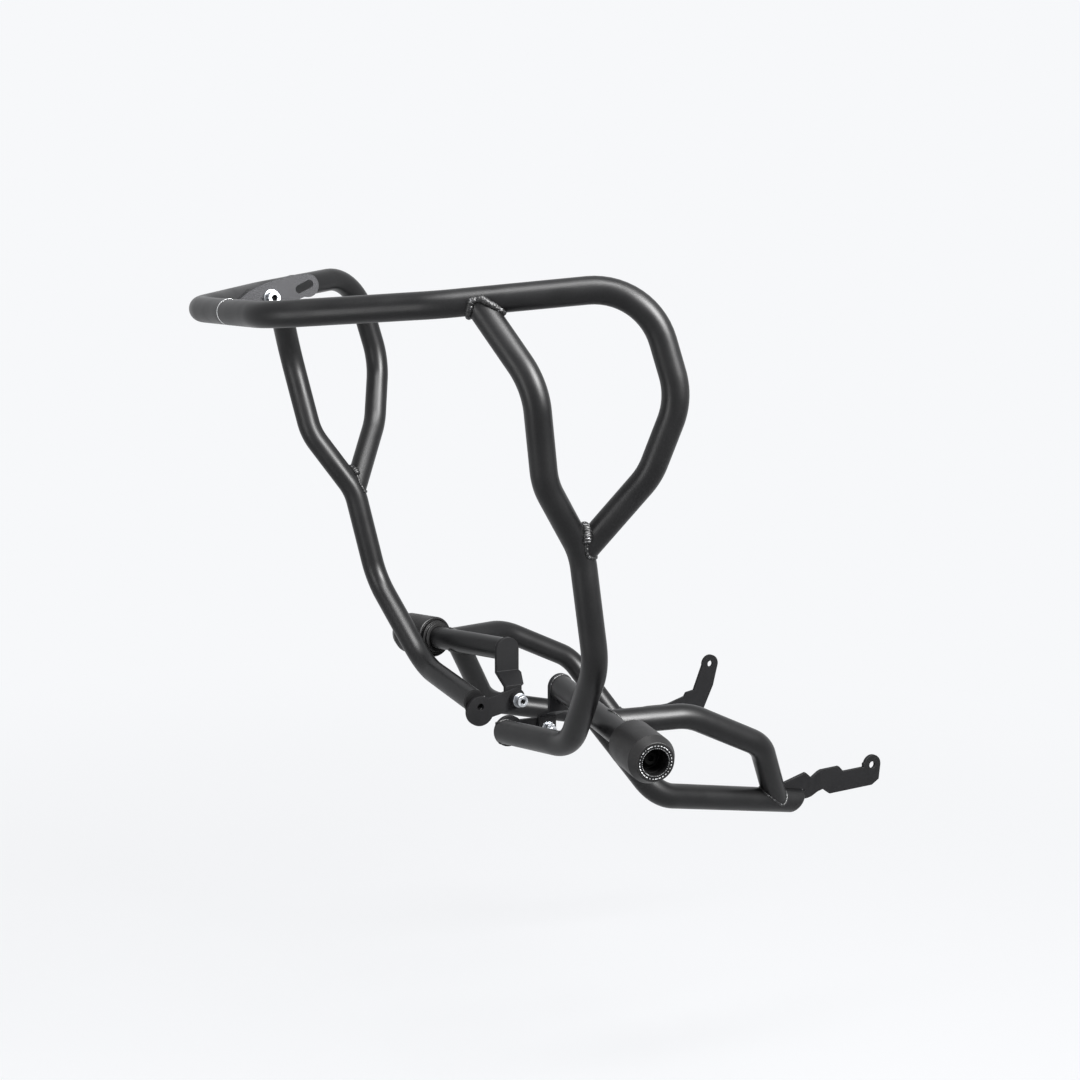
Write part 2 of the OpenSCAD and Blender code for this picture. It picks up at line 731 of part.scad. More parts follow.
guard_nut(1);  // left_guard_nut
guard_nut(-1);  // right_guard_nut
joint_spigot();
front_bracket();
front_tab();
front_screw();
front_washers();
front_nut();
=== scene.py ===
"""Looks of the motorcycle crash bars: bent tubes, weld beads, plates, sliders, screws and the studio."""

import logging
import math
from dataclasses import dataclass, field
from enum import Enum
from typing import Any, ClassVar

import bmesh
import bpy
from bpy.types import Material, Mesh, NodeTree, Object, World
from mathutils import Matrix, Vector
from mathutils.bvhtree import BVHTree


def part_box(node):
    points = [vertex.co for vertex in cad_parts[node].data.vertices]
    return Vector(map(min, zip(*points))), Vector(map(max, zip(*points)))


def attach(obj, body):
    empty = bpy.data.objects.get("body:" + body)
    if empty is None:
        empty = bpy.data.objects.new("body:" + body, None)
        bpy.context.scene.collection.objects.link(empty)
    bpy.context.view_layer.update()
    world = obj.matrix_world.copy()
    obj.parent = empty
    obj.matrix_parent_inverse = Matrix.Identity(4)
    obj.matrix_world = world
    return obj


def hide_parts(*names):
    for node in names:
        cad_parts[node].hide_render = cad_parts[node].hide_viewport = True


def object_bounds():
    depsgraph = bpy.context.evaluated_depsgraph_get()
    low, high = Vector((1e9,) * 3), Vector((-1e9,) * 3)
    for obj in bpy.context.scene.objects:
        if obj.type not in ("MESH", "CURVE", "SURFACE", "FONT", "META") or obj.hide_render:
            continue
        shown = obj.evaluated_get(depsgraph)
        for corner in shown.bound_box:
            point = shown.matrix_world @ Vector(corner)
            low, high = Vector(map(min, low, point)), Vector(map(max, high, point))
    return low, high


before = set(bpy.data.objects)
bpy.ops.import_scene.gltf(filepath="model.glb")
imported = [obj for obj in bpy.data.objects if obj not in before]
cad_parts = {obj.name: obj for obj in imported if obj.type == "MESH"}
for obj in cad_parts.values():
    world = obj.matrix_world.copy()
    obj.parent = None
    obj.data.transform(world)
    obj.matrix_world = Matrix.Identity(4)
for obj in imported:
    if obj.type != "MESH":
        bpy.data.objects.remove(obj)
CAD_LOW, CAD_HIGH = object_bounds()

log = logging.getLogger("crash_bars")
MM = 0.001
BODY = "root"
UP = Vector((0, 0, 1))
PLATE_EDGE_MM = 0.5
SMALL_EDGE_MM = 0.3
MERGE_MM = 0.002
FLAT_DEG = 0.4
ROUNDED_DEG = 40.0
CRISP_DEG = 35.0
DISC_SIDES = 96
# The wave texture multiplies its scale by this.
WAVE_FACTOR = 20


class Side(Enum):
    """The motorcycle's two sides, each with the sign of its Y."""

    LEFT = 1
    RIGHT = -1

    def node(self, part: str) -> str:
        """Name of this side's node for a part."""
        return f"{self.name.lower()}_{part}"


class Slot(Enum):
    """The material slots."""

    COAT = "powder_coat"
    BRACKET = "bracket_coat"
    BOSS = "boss_coat"
    SLIDER = "slider_plastic"
    RING = "knurled_ring"
    ZINC = "zinc_plate"


def linear(colour: str) -> tuple[float, float, float, float]:
    """Turns an sRGB hex colour to a linear one.

    Args:
        colour: six hex digits after a hash mark.

    Returns:
        Red, green and blue from 0 to 1, and an alpha of 1.
    """
    parts = (int(colour[i : i + 2], 16) / 255 for i in (1, 3, 5))
    return (*(p / 12.92 if p <= 0.04045 else ((p + 0.055) / 1.055) ** 2.4 for p in parts), 1.0)


def add_node(tree: NodeTree, kind: str, inputs: dict[Any, Any] | None = None, **settings: Any) -> Any:
    """Adds one node with its settings, values and links.

    Args:
        tree: the tree that gets the node.
        kind: the node's type name.
        inputs: what each input holds, by its name or number: a socket is linked, and a value is set.
        settings: the node's own properties.

    Returns:
        The new node.
    """
    node = tree.nodes.new(kind)
    for key, value in settings.items():
        setattr(node, key, value)
    for key, value in (inputs or {}).items():
        if isinstance(value, bpy.types.NodeSocket):
            tree.links.new(value, node.inputs[key])
        else:
            node.inputs[key].default_value = value
    return node


def span(tree: NodeTree, value: Any, low: float, high: float, start: float = 0.35, stop: float = 0.65) -> Any:
    """Spreads a noise's middle range over low to high.

    Args:
        tree: the material's tree.
        value: the socket with the noise.
        low: the result at start.
        high: the result at stop.
        start: the noise value that gives low.
        stop: the noise value that gives high.

    Returns:
        The result's socket.
    """
    inputs = {"Value": value, "From Min": start, "From Max": stop, "To Min": low, "To Max": high}
    return add_node(tree, "ShaderNodeMapRange", inputs).outputs["Result"]


def empty_tree(owner: Material | World) -> NodeTree:
    """Gives a material or a world an empty node tree and returns it."""
    owner.use_nodes = True
    owner.node_tree.nodes.clear()
    return owner.node_tree


@dataclass(frozen=True)
class Finish:
    """What every finish shares: a name, two tones, its roughness and how far that strays."""

    name: str
    dark: str
    light: str
    roughness: float
    slot: Slot
    gloss: float = 0.28
    smoother: float = 0.04
    rougher: float = 0.05

    def material(self) -> Material:
        """Returns the finish's material, made at its first use."""
        made = bpy.data.materials.get(self.name)
        if made is None:
            made = bpy.data.materials.new(self.name)
            tree = empty_tree(made)
            add_node(tree, "ShaderNodeOutputMaterial", {"Surface": self.shader(tree).outputs[0]})
        return made

    def noise(self, tree: NodeTree, size_mm: float, detail: float = 2.0) -> Any:
        """Adds a noise whose cells are size_mm wide, and returns its value."""
        place = add_node(tree, "ShaderNodeTexCoord").outputs["Object"]
        inputs = {"Vector": place, "Scale": 1 / (size_mm * MM), "Detail": detail}
        return add_node(tree, "ShaderNodeTexNoise", inputs).outputs["Fac"]

    def tones(self, tree: NodeTree, share: Any) -> Any:
        """Mixes the dark and the light tone by a share, and returns the colour."""
        inputs = {0: share, 6: linear(self.dark), 7: linear(self.light)}
        return add_node(tree, "ShaderNodeMix", inputs, data_type="RGBA").outputs[2]

    def uneven(self, tree: NodeTree, noise: Any) -> Any:
        """Lets the roughness stray with a noise, and returns its socket."""
        return span(tree, noise, self.roughness - self.smoother, self.roughness + self.rougher)

    def shader(self, tree: NodeTree) -> Any:
        """Adds the finish's shader and returns its node."""
        raise NotImplementedError


@dataclass(frozen=True)
class PowderCoat(Finish):
    """Polyester powder baked on steel: satin, with a soft highlight and a fine orange peel.

    The peel's waves are about 2 mm apart and at most 18 micrometres high. The grain's specks are 1 mm
    wide, which is coarser than the real 0.3 mm, so that they show.
    """

    peel_mm: float = 2.2
    peel_height_mm: float = 0.018
    grain_mm: float = 1.0
    grain_depth: float = 0.5
    patch_mm: float = 45.0

    def shader(self, tree: NodeTree) -> Any:
        """Adds the coat's shader and returns its node."""
        grain = self.noise(tree, self.grain_mm, 3)
        patches = self.noise(tree, self.patch_mm)
        peel = self.noise(tree, self.peel_mm)
        coarse = add_node(tree, "ShaderNodeMath", {0: grain, 1: self.grain_depth, 2: peel},
                          operation="MULTIPLY_ADD")
        bump_inputs = {"Height": coarse.outputs[0], "Strength": 1.0, "Distance": self.peel_height_mm * MM}
        bump = add_node(tree, "ShaderNodeBump", bump_inputs)
        return add_node(tree, "ShaderNodeBsdfPrincipled", {
            "Base Color": self.tones(tree, span(tree, grain, 0, 1)),
            "Roughness": self.uneven(tree, patches),
            "Specular IOR Level": self.gloss,
            "Normal": bump.outputs[0],
        })


@dataclass(frozen=True)
class ZincPlate(Finish):
    """Bright zinc on turned steel: a pale metal, slightly blotched, with faint tool marks."""

    smoother: float = 0.06
    rougher: float = 0.08
    blotch_mm: float = 5.0
    mark_mm: float = 1.2
    mark_height_mm: float = 0.01
    mark_strength: float = 0.3

    def shader(self, tree: NodeTree) -> Any:
        """Adds the zinc's shader and returns its node."""
        blotches = self.noise(tree, self.blotch_mm)
        bump = add_node(tree, "ShaderNodeBump", {
            "Height": self.noise(tree, self.mark_mm), "Strength": self.mark_strength,
            "Distance": self.mark_height_mm * MM})
        return add_node(tree, "ShaderNodeBsdfPrincipled", {
            "Base Color": self.tones(tree, span(tree, blotches, 0, 1)),
            "Metallic": 1.0,
            "Roughness": self.uneven(tree, blotches),
            "Normal": bump.outputs[0],
        })


@dataclass(frozen=True)
class TurnedNylon(Finish):
    """Black nylon turned on a lathe: matt, with fine rings round the slider's axis, 1.4 mm apart."""

    rougher: float = 0.04
    axis: tuple[float, float, float] = (0.0, 0.0, 1.0)
    ring_mm: float = 1.4
    ring_height_mm: float = 0.03
    ring_strength: float = 0.7
    ring_wobble: float = 0.4
    grain_mm: float = 1.2
    patch_mm: float = 20.0

    def shader(self, tree: NodeTree) -> Any:
        """Adds the nylon's shader and returns its node."""
        turn = Vector(self.axis).rotation_difference(UP).to_euler()
        place = add_node(tree, "ShaderNodeTexCoord").outputs["Object"]
        turned = add_node(tree, "ShaderNodeMapping", {"Vector": place, "Rotation": turn})
        rings = add_node(tree, "ShaderNodeTexWave", {
            "Vector": turned.outputs[0], "Scale": 2 * math.pi / (WAVE_FACTOR * self.ring_mm * MM),
            "Distortion": self.ring_wobble,
        }, bands_direction="Z")
        grain = self.noise(tree, self.grain_mm, 3)
        height = add_node(tree, "ShaderNodeMath", {0: rings.outputs["Fac"], 1: grain}, operation="ADD")
        bump = add_node(tree, "ShaderNodeBump", {
            "Height": height.outputs[0], "Strength": self.ring_strength,
            "Distance": self.ring_height_mm * MM})
        return add_node(tree, "ShaderNodeBsdfPrincipled", {
            "Base Color": self.tones(tree, span(tree, grain, 0, 1)),
            "Roughness": self.uneven(tree, self.noise(tree, self.patch_mm)),
            "Specular IOR Level": self.gloss,
            "Normal": bump.outputs[0],
        })


@dataclass(frozen=True)
class CoatedWeld(Finish):
    """A rippled weld bead under the same powder, with bright metal spots where the coat is thin; with a low
    bare_and_glint_from the light tone covers most of the bead as a painted glint.
    """

    bare_and_glint_from: float = 0.62
    spot_edge: float = 0.08
    spot_mm: float = 4.0
    spot_metal: float = 0.8
    ripple_mm: float = 1.6
    ripple_height_mm: float = 0.03

    def shader(self, tree: NodeTree) -> Any:
        """Adds the bead's shader and returns its node."""
        spots = self.noise(tree, self.spot_mm, 3)
        bare_and_glint = span(tree, spots, 0, 1, self.bare_and_glint_from, self.bare_and_glint_from + self.spot_edge)
        bump = add_node(tree, "ShaderNodeBump", {
            "Height": self.noise(tree, self.ripple_mm), "Strength": 1.0,
            "Distance": self.ripple_height_mm * MM})
        return add_node(tree, "ShaderNodeBsdfPrincipled", {
            "Base Color": self.tones(tree, bare_and_glint),
            "Metallic": span(tree, bare_and_glint, 0.0, self.spot_metal, 0, 1),
            "Roughness": self.roughness,
            "Specular IOR Level": self.gloss,
            "Normal": bump.outputs[0],
        })


COAT = PowderCoat("satin_black_powder", "#0c0c0d", "#161617", 0.36, Slot.COAT, 0.2)
PLATE_COAT = PowderCoat("matt_black_powder", "#121213", "#1c1c1e", 0.55, Slot.COAT, 0.1)
# Mid grey is painted light: the bracket's face lit from above; its coarse grain is its own texture.
LIT_GREY_COAT = PowderCoat("matt_grey_powder", "#323234", "#535356", 0.6, Slot.BRACKET, 0.1, grain_depth=1.0)
BOSS_COAT = PowderCoat("black_oxide", "#0e0e0f", "#161617", 0.5, Slot.BOSS, 0.18)
# Near-black and nearly without gloss: painted shade for bores, sockets and recesses.
SHADE_BLACK_COAT = PowderCoat("black_inside", "#040404", "#070707", 0.7, Slot.BOSS, 0.05)
ZINC = ZincPlate("bright_zinc", "#8b8d91", "#a6a9ac", 0.36, Slot.ZINC)
KNURLED_ZINC = ZincPlate("knurled_zinc", "#4a4b4e", "#66686b", 0.42, Slot.ZINC)
TOOTH_STEEL = ZincPlate("bright_knurl", "#dcdedf", "#fafafa", 0.3, Slot.RING)
RING_STEEL = PowderCoat("black_ring", "#0a0a0b", "#111112", 0.45, Slot.RING, 0.12)
WELD = CoatedWeld("coated_weld", "#121213", "#8c8c8f", 0.4, Slot.COAT, 0.3)
# Light grey over most of the bead: a painted glint in the crotch between the tubes; the bead's shape is real.
GLINT_WELD = CoatedWeld("thinly_coated_weld", "#5c5c5e", "#b4b4b7", 0.42, Slot.COAT, 0.3, bare_and_glint_from=0.4)


@dataclass(frozen=True)
class Corner:
    """A corner of a tube's centre line on the left side, in mm from the front joint.

    share is how much of the lower guard's shift between left and right the corner takes, and spread how
    much of the right lower guard's place further out.
    """

    back: float
    out: float
    up: float
    bend: float = 0.0
    share: float = 0.0
    spread: float = 0.0

    JOINT: ClassVar[Vector] = Vector((82, 0, -25))
    GUARD_LEAD: ClassVar[float] = 12.0
    GUARD_DROP: ClassVar[float] = 13.0
    GUARD_OUT: ClassVar[float] = 11.0
    BACK_PER_OUT: ClassVar[float] = 0.45
    DROP_PER_OUT: ClassVar[float] = 0.18

    def at(self, side: Side) -> Vector:
        """Returns the corner's place on a side, in metres."""
        shift = side.value * self.share / 2
        away = self.GUARD_OUT * self.spread if side is Side.RIGHT else 0.0
        x = self.JOINT.x - self.back + shift * self.GUARD_LEAD - self.BACK_PER_OUT * away
        z = self.JOINT.z + self.up - shift * self.GUARD_DROP - self.DROP_PER_OUT * away
        return Vector((x, side.value * (self.out + away), z)) * MM

    def towards(self, other: "Corner", length: float) -> "Corner":
        """Returns the corner that lies length mm from this one towards another."""
        way = Vector((other.back - self.back, other.out - self.out, other.up - self.up)).normalized()
        step = way * length
        return self.off(-step.x, step.y, step.z)

    def off(self, ahead: float, out: float, up: float, bend: float = 0.0) -> "Corner":
        """Returns the corner that lies that far from this one, in mm."""
        return Corner(self.back - ahead, self.out + out, self.up + up, bend, self.share, self.spread)


def keep(obj: Object, finish: Finish, *replaced: str) -> Object:
    """Lets a finished piece ride on the body and hides the nodes that it stands for.

    Args:
        obj: the piece, whose mesh is final.
        finish: not used.
        replaced: the nodes that it stands for.

    Returns:
        The piece.
    """
    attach(obj, BODY)
    if replaced:
        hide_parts(*replaced)
    log.info("%s: %d faces", obj.name, len(obj.data.polygons))
    return obj


def mesh_object(name: str, mesh: Mesh) -> Object:
    """Links a new object that shows a mesh, and returns it."""
    obj = bpy.data.objects.new(name, mesh)
    bpy.context.scene.collection.objects.link(obj)
    return obj


def empty_source() -> Object:
    """Returns an empty piece, for a tree that starts from nothing."""
    return mesh_object("source", bpy.data.meshes.new("source"))


def plain_mesh(work: bmesh.types.BMesh, name: str) -> Mesh:
    """Returns a new mesh with what was worked on, and frees the work."""
    mesh = bpy.data.meshes.new(name)
    work.to_mesh(mesh)
    work.free()
    return mesh


def shade(mesh: Mesh, crisp_deg: float = CRISP_DEG) -> None:
    """Shades a mesh smooth, with crisp edges from an angle on."""
    mesh.shade_smooth()
    mesh.set_sharp_from_angle(angle=math.radians(crisp_deg))


def facing(way: Vector) -> Matrix:
    """Returns the turn that brings the Z axis to a direction."""
    return UP.rotation_difference(way).to_matrix().to_4x4()


def square_to(side: Side) -> Matrix:
    """Returns the turn that brings a cutter's X axis to a side's outward direction."""
    return Matrix.Rotation(side.value * math.pi / 2, 3, "Z")


def run_tree(source: Object, tree: NodeTree, values: dict[str, Any], name: str) -> Object:
    """Runs a Geometry Nodes tree on an object and keeps the result as a plain mesh.

    Args:
        source: the object that the tree starts from; it is removed.
        tree: the tree.
        values: the tree's inputs by name.
        name: the new piece's name.

    Returns:
        The new piece.
    """
    modifier = source.modifiers.new("build", "NODES")
    modifier.node_group = tree
    for item in tree.interface.items_tree:
        if item.item_type == "SOCKET" and item.in_out == "INPUT" and item.name in values:
            modifier[item.identifier] = values[item.name]
    made = bake(source, name)
    bpy.data.objects.remove(source)
    return made


def bake(source: Object, name: str) -> Object:
    """Returns a new object whose plain mesh is what the source's modifiers give, and takes them off."""
    source.data.update()
    bpy.context.view_layer.update()
    graph = bpy.context.evaluated_depsgraph_get()
    mesh = bpy.data.meshes.new_from_object(source.evaluated_get(graph), depsgraph=graph)
    source.modifiers.clear()
    mesh.name = name
    return mesh_object(name, mesh)


def polyline(points: list[Vector], closed: bool, bends: list[float] | None = None) -> Object:
    """Makes a chain of edges, with each point's bend radius as an attribute.

    Args:
        points: the chain's points in metres.
        closed: whether the last point joins the first.
        bends: each point's bend radius in metres.

    Returns:
        The chain's object.
    """
    edges = [(i, i + 1) for i in range(len(points) - 1)] + ([(len(points) - 1, 0)] if closed else [])
    mesh = bpy.data.meshes.new("path")
    mesh.from_pydata(points, edges, [])
    bend = mesh.attributes.new("bend", "FLOAT", "POINT")
    bend.data.foreach_set("value", bends or [0.0] * len(points))
    return mesh_object("path", mesh)


def new_tree(name: str, **sockets: tuple[str, ...]) -> tuple[NodeTree, Any, Any]:
    """Starts a Geometry Nodes tree, whose first input is the geometry and whose last is the material.

    Args:
        name: the tree's name.
        sockets: the names of its other inputs, by their kind.

    Returns:
        The tree, its input node and its output node.
    """
    tree = bpy.data.node_groups.new(name, "GeometryNodeTree")
    tree.interface.new_socket("Geometry", in_out="INPUT", socket_type="NodeSocketGeometry")
    for kind, labels in {**sockets, "Material": ("Material",)}.items():
        for label in labels:
            tree.interface.new_socket(label, in_out="INPUT", socket_type="NodeSocket" + kind)
    tree.interface.new_socket("Geometry", in_out="OUTPUT", socket_type="NodeSocketGeometry")
    return tree, add_node(tree, "NodeGroupInput"), add_node(tree, "NodeGroupOutput")


def close_tree(tree: NodeTree, geometry: Any, material: Any, end: Any) -> None:
    """Ends a tree in Realize Instances and Set Material.

    Args:
        tree: the tree.
        geometry: the socket with what the tree has made.
        material: the socket with the material.
        end: the tree's output node.
    """
    real = add_node(tree, "GeometryNodeRealizeInstances", {"Geometry": geometry})
    dressed = add_node(tree, "GeometryNodeSetMaterial", {"Geometry": real.outputs[0], "Material": material})
    tree.links.new(dressed.outputs[0], end.inputs[0])


def swept(tree: NodeTree, curve: Any, sides: Any, radius: Any) -> Any:
    """Sweeps a circle along a curve, closed at both ends.

    Args:
        tree: the tree.
        curve: the socket with the curve.
        sides: the circle's sides.
        radius: the circle's radius.

    Returns:
        The swept geometry's socket.
    """
    ring = add_node(tree, "GeometryNodeCurvePrimitiveCircle", {"Resolution": sides, "Radius": radius})
    inputs = {"Curve": curve, "Profile Curve": ring.outputs[0], "Fill Caps": True}
    return add_node(tree, "GeometryNodeCurveToMesh", inputs).outputs[0]


def strung(tree: NodeTree, curve: Any, item: Any, scale: Any) -> Any:
    """Sets an item on each of a curve's points, turned along the curve.

    Args:
        tree: the tree.
        curve: the socket with the curve.
        item: the socket with the item.
        scale: the socket with each item's scale.

    Returns:
        The instances' socket.
    """
    points = add_node(tree, "GeometryNodeCurveToPoints", {"Curve": curve}, mode="EVALUATED")
    turn = add_node(tree, "FunctionNodeAlignRotationToVector", {"Vector": points.outputs["Tangent"]},
                    axis="X")
    inputs = {"Points": points.outputs[0], "Instance": item, "Rotation": turn.outputs[0], "Scale": scale}
    return add_node(tree, "GeometryNodeInstanceOnPoints", inputs).outputs[0]


def tube_tree() -> NodeTree:
    """Returns the tree that bends a tube along a chain, bores it and fits its ends to what they meet."""
    tree, start, end = new_tree("bent_tube", Float=("Radius", "Bore", "Overrun"), Int=("Sides", "Arc Steps"),
                                Object=("First Cutter", "Second Cutter"))
    given = start.outputs
    line = add_node(tree, "GeometryNodeMeshToCurve", {"Mesh": given["Geometry"]})
    radius = add_node(tree, "GeometryNodeInputNamedAttribute", {"Name": "bend"}, data_type="FLOAT")
    bent = add_node(tree, "GeometryNodeFilletCurve", {
        "Curve": line.outputs[0], "Count": given["Arc Steps"], "Radius": radius.outputs[0],
        "Limit Radius": True,
    }, mode="POLY")
    tangent = add_node(tree, "GeometryNodeInputTangent").outputs[0]
    longer = bent.outputs[0]
    for first, sign in ((1, -1.0), (0, 1.0)):
        ends = add_node(tree, "GeometryNodeCurveEndpointSelection", {
            "Start Size": first, "End Size": 1 - first})
        reach = add_node(tree, "ShaderNodeMath", {0: given["Overrun"], 1: sign}, operation="MULTIPLY")
        step = add_node(tree, "ShaderNodeVectorMath", {0: tangent, "Scale": reach.outputs[0]},
                        operation="SCALE")
        inputs = {"Geometry": longer, "Selection": ends.outputs[0], "Offset": step.outputs[0]}
        longer = add_node(tree, "GeometryNodeSetPosition", inputs).outputs[0]
    body = swept(tree, bent.outputs[0], given["Sides"], given["Radius"])
    cut = add_node(tree, "GeometryNodeMeshBoolean", {"Mesh 1": body}, operation="DIFFERENCE", solver="EXACT")
    tree.links.new(swept(tree, longer, given["Sides"], given["Bore"]), cut.inputs["Mesh 2"])
    for label in ("First Cutter", "Second Cutter"):
        cutter = add_node(tree, "GeometryNodeObjectInfo", {"Object": given[label]})
        tree.links.new(cutter.outputs["Geometry"], cut.inputs["Mesh 2"])
    close_tree(tree, cut.outputs[0], given["Material"], end)
    return tree


def weld_tree() -> NodeTree:
    """Returns the tree that lays overlapping ripples along a seam and melts them into one bead."""
    tree, start, end = new_tree("weld_bead", Float=("Radius", "Pitch", "Voxel"), Int=("Seed",))
    smallest, largest, flatness, band = 0.88, 1.12, 0.62, 1.5 * MM
    given = start.outputs
    line = add_node(tree, "GeometryNodeMeshToCurve", {"Mesh": given["Geometry"]})
    spread = add_node(tree, "GeometryNodeResampleCurve", {"Curve": line.outputs[0], "Length": given["Pitch"]},
                      mode="LENGTH")
    blob = add_node(tree, "GeometryNodeMeshIcoSphere", {"Radius": given["Radius"], "Subdivisions": 3})
    size = add_node(tree, "FunctionNodeRandomValue", {2: smallest, 3: largest, "Seed": given["Seed"]},
                    data_type="FLOAT")
    flat = add_node(tree, "ShaderNodeCombineXYZ", {0: flatness, 1: 1.0, 2: 1.0})
    scale = add_node(tree, "ShaderNodeVectorMath", {0: flat.outputs[0], "Scale": size.outputs[1]},
                     operation="SCALE")
    ripples = strung(tree, spread.outputs[0], blob.outputs[0], scale.outputs[0])
    real = add_node(tree, "GeometryNodeRealizeInstances", {"Geometry": ripples})
    cloud = add_node(tree, "GeometryNodeMeshToVolume", {
        "Mesh": real.outputs[0], "Voxel Size": given["Voxel"], "Interior Band Width": band,
    }, resolution_mode="VOXEL_SIZE")
    skin = add_node(tree, "GeometryNodeVolumeToMesh", {"Volume": cloud.outputs[0], "Threshold": 0.3})
    smooth = add_node(tree, "GeometryNodeSetShadeSmooth", {"Geometry": skin.outputs[0]})
    close_tree(tree, smooth.outputs[0], given["Material"], end)
    return tree


def tooth_tree() -> NodeTree:
    """Returns the tree that sets teeth of random length round a ring."""
    tree, start, end = new_tree("ring_of_teeth", Float=("Ring Radius", "Least"), Int=("Count", "Seed"),
                                Vector=("Tooth",))
    crease = 0.6
    given = start.outputs
    ring = add_node(tree, "GeometryNodeCurvePrimitiveCircle", {
        "Resolution": given["Count"], "Radius": given["Ring Radius"]})
    block = add_node(tree, "GeometryNodeMeshCube", {"Size": given["Tooth"]})
    inner = add_node(tree, "GeometryNodeSubdivisionSurface", {
        "Mesh": block.outputs[0], "Level": 1, "Edge Crease": crease})
    long = add_node(tree, "FunctionNodeRandomValue", {2: given["Least"], 3: 1.0, "Seed": given["Seed"]},
                    data_type="FLOAT")
    scale = add_node(tree, "ShaderNodeCombineXYZ", {0: long.outputs[1], 1: 1.0, 2: 1.0})
    teeth = strung(tree, ring.outputs[0], inner.outputs[0], scale.outputs[0])
    close_tree(tree, teeth, given["Material"], end)
    return tree


def thread_tree() -> NodeTree:
    """Returns the tree that winds a thread's crest round the Z axis."""
    tree, start, end = new_tree("thread_crest", Float=("Radius", "Pitch", "Turns"))
    steps, crest_share, crest_sides = 28, 0.42, 6
    given = start.outputs
    height = add_node(tree, "ShaderNodeMath", {0: given["Pitch"], 1: given["Turns"]}, operation="MULTIPLY")
    helix = add_node(tree, "GeometryNodeCurveSpiral", {
        "Resolution": steps, "Rotations": given["Turns"], "Start Radius": given["Radius"],
        "End Radius": given["Radius"], "Height": height.outputs[0]})
    width = add_node(tree, "ShaderNodeMath", {0: given["Pitch"], 1: crest_share}, operation="MULTIPLY")
    wound = swept(tree, helix.outputs[0], crest_sides, width.outputs[0])
    smooth = add_node(tree, "GeometryNodeSetShadeSmooth", {"Geometry": wound})
    close_tree(tree, smooth.outputs[0], given["Material"], end)
    return tree


def refined(node: str, finish: Finish, bevel_mm: float, segments: int = 3, crisp_deg: float = 38) -> Object:
    """Makes a node's piece with merged faces and rounded edges.

    Args:
        node: the node that it replaces.
        finish: its finish.
        bevel_mm: how wide its edges are rounded.
        segments: the steps across a rounded edge.
        crisp_deg: the angle from which an edge that isn't rounded stays crisp.

    Returns:
        The new piece.
    """
    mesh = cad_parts[node].data.copy()
    if "custom_normal" in mesh.attributes:
        mesh.attributes.remove(mesh.attributes["custom_normal"])
    mesh.materials.clear()
    mesh.materials.append(finish.material())
    work = bmesh.new()
    work.from_mesh(mesh)
    bmesh.ops.remove_doubles(work, verts=work.verts, dist=MERGE_MM * MM)
    bmesh.ops.dissolve_limit(work, angle_limit=math.radians(FLAT_DEG), verts=work.verts, edges=work.edges)
    rounded = math.radians(ROUNDED_DEG)
    for seam in work.edges:
        seam.smooth = not math.radians(crisp_deg) <= seam.calc_face_angle(0.0) < rounded
    for face in work.faces:
        face.smooth = True
    work.to_mesh(mesh)
    work.free()
    source = mesh_object(node + "_source", mesh)
    edge = source.modifiers.new("edge", "BEVEL")
    edge.width = bevel_mm * MM
    edge.segments = segments
    edge.limit_method = "ANGLE"
    edge.angle_limit = rounded
    edge.use_clamp_overlap = True
    edge.harden_normals = True
    piece = bake(source, node + "_finished")
    bpy.data.objects.remove(source)
    return keep(piece, finish, node)


@dataclass
class TubeShop:
    """Bends every tube from the same stock and keeps what the others are fitted to."""

    radius: float = 13.5
    wall: float = 2.5
    sides: int = 64
    arc_steps: int = 14
    cope_gap: float = 0.05
    overrun: float = 3.0
    cutter_bore: float = 0.01
    tree: NodeTree = field(default_factory=tube_tree)

    def sweep(self, name: str, corners: list[Corner], side: Side, finish: Finish, bore: float, radius: float,
              cutters: list[Object]) -> Object:
        """Runs the tube's tree along corners.

        Args:
            name: the result's name.
            corners: the centre line's corners.
            side: the side that it is on.
            finish: its finish.
            bore: the bore's radius in mm.
            radius: the outside radius in mm.
            cutters: up to two objects that the ends are fitted to.

        Returns:
            The tube.
        """
        path = polyline([c.at(side) for c in corners], False, [c.bend * MM for c in corners])
        both = (cutters + [None, None])[:2]
        values = {
            "Radius": radius * MM, "Bore": bore * MM, "Sides": self.sides, "Arc Steps": self.arc_steps,
            "Overrun": self.overrun * MM, "First Cutter": both[0], "Second Cutter": both[1],
            "Material": finish.material()}
        made = run_tree(path, self.tree, {k: v for k, v in values.items() if v is not None}, name)
        shade(made.data)
        return made

    def tube(self, part: str, corners: list[Corner], side: Side, cutters: list[Object]) -> Object:
        """Makes a finished tube that replaces its node, with its ends fitted to the cutters."""
        name = side.node(part)
        made = self.sweep(name + "_bent", corners, side, COAT, self.radius - self.wall, self.radius, cutters)
        return keep(made, COAT, name)

    def solid(self, corners: list[Corner], side: Side) -> Object:
        """Makes the solid that another tube's end is fitted to; it is removed at the end."""
        reach = self.radius + self.cope_gap
        return self.sweep("cutter", corners, side, COAT, self.cutter_bore, reach, [])


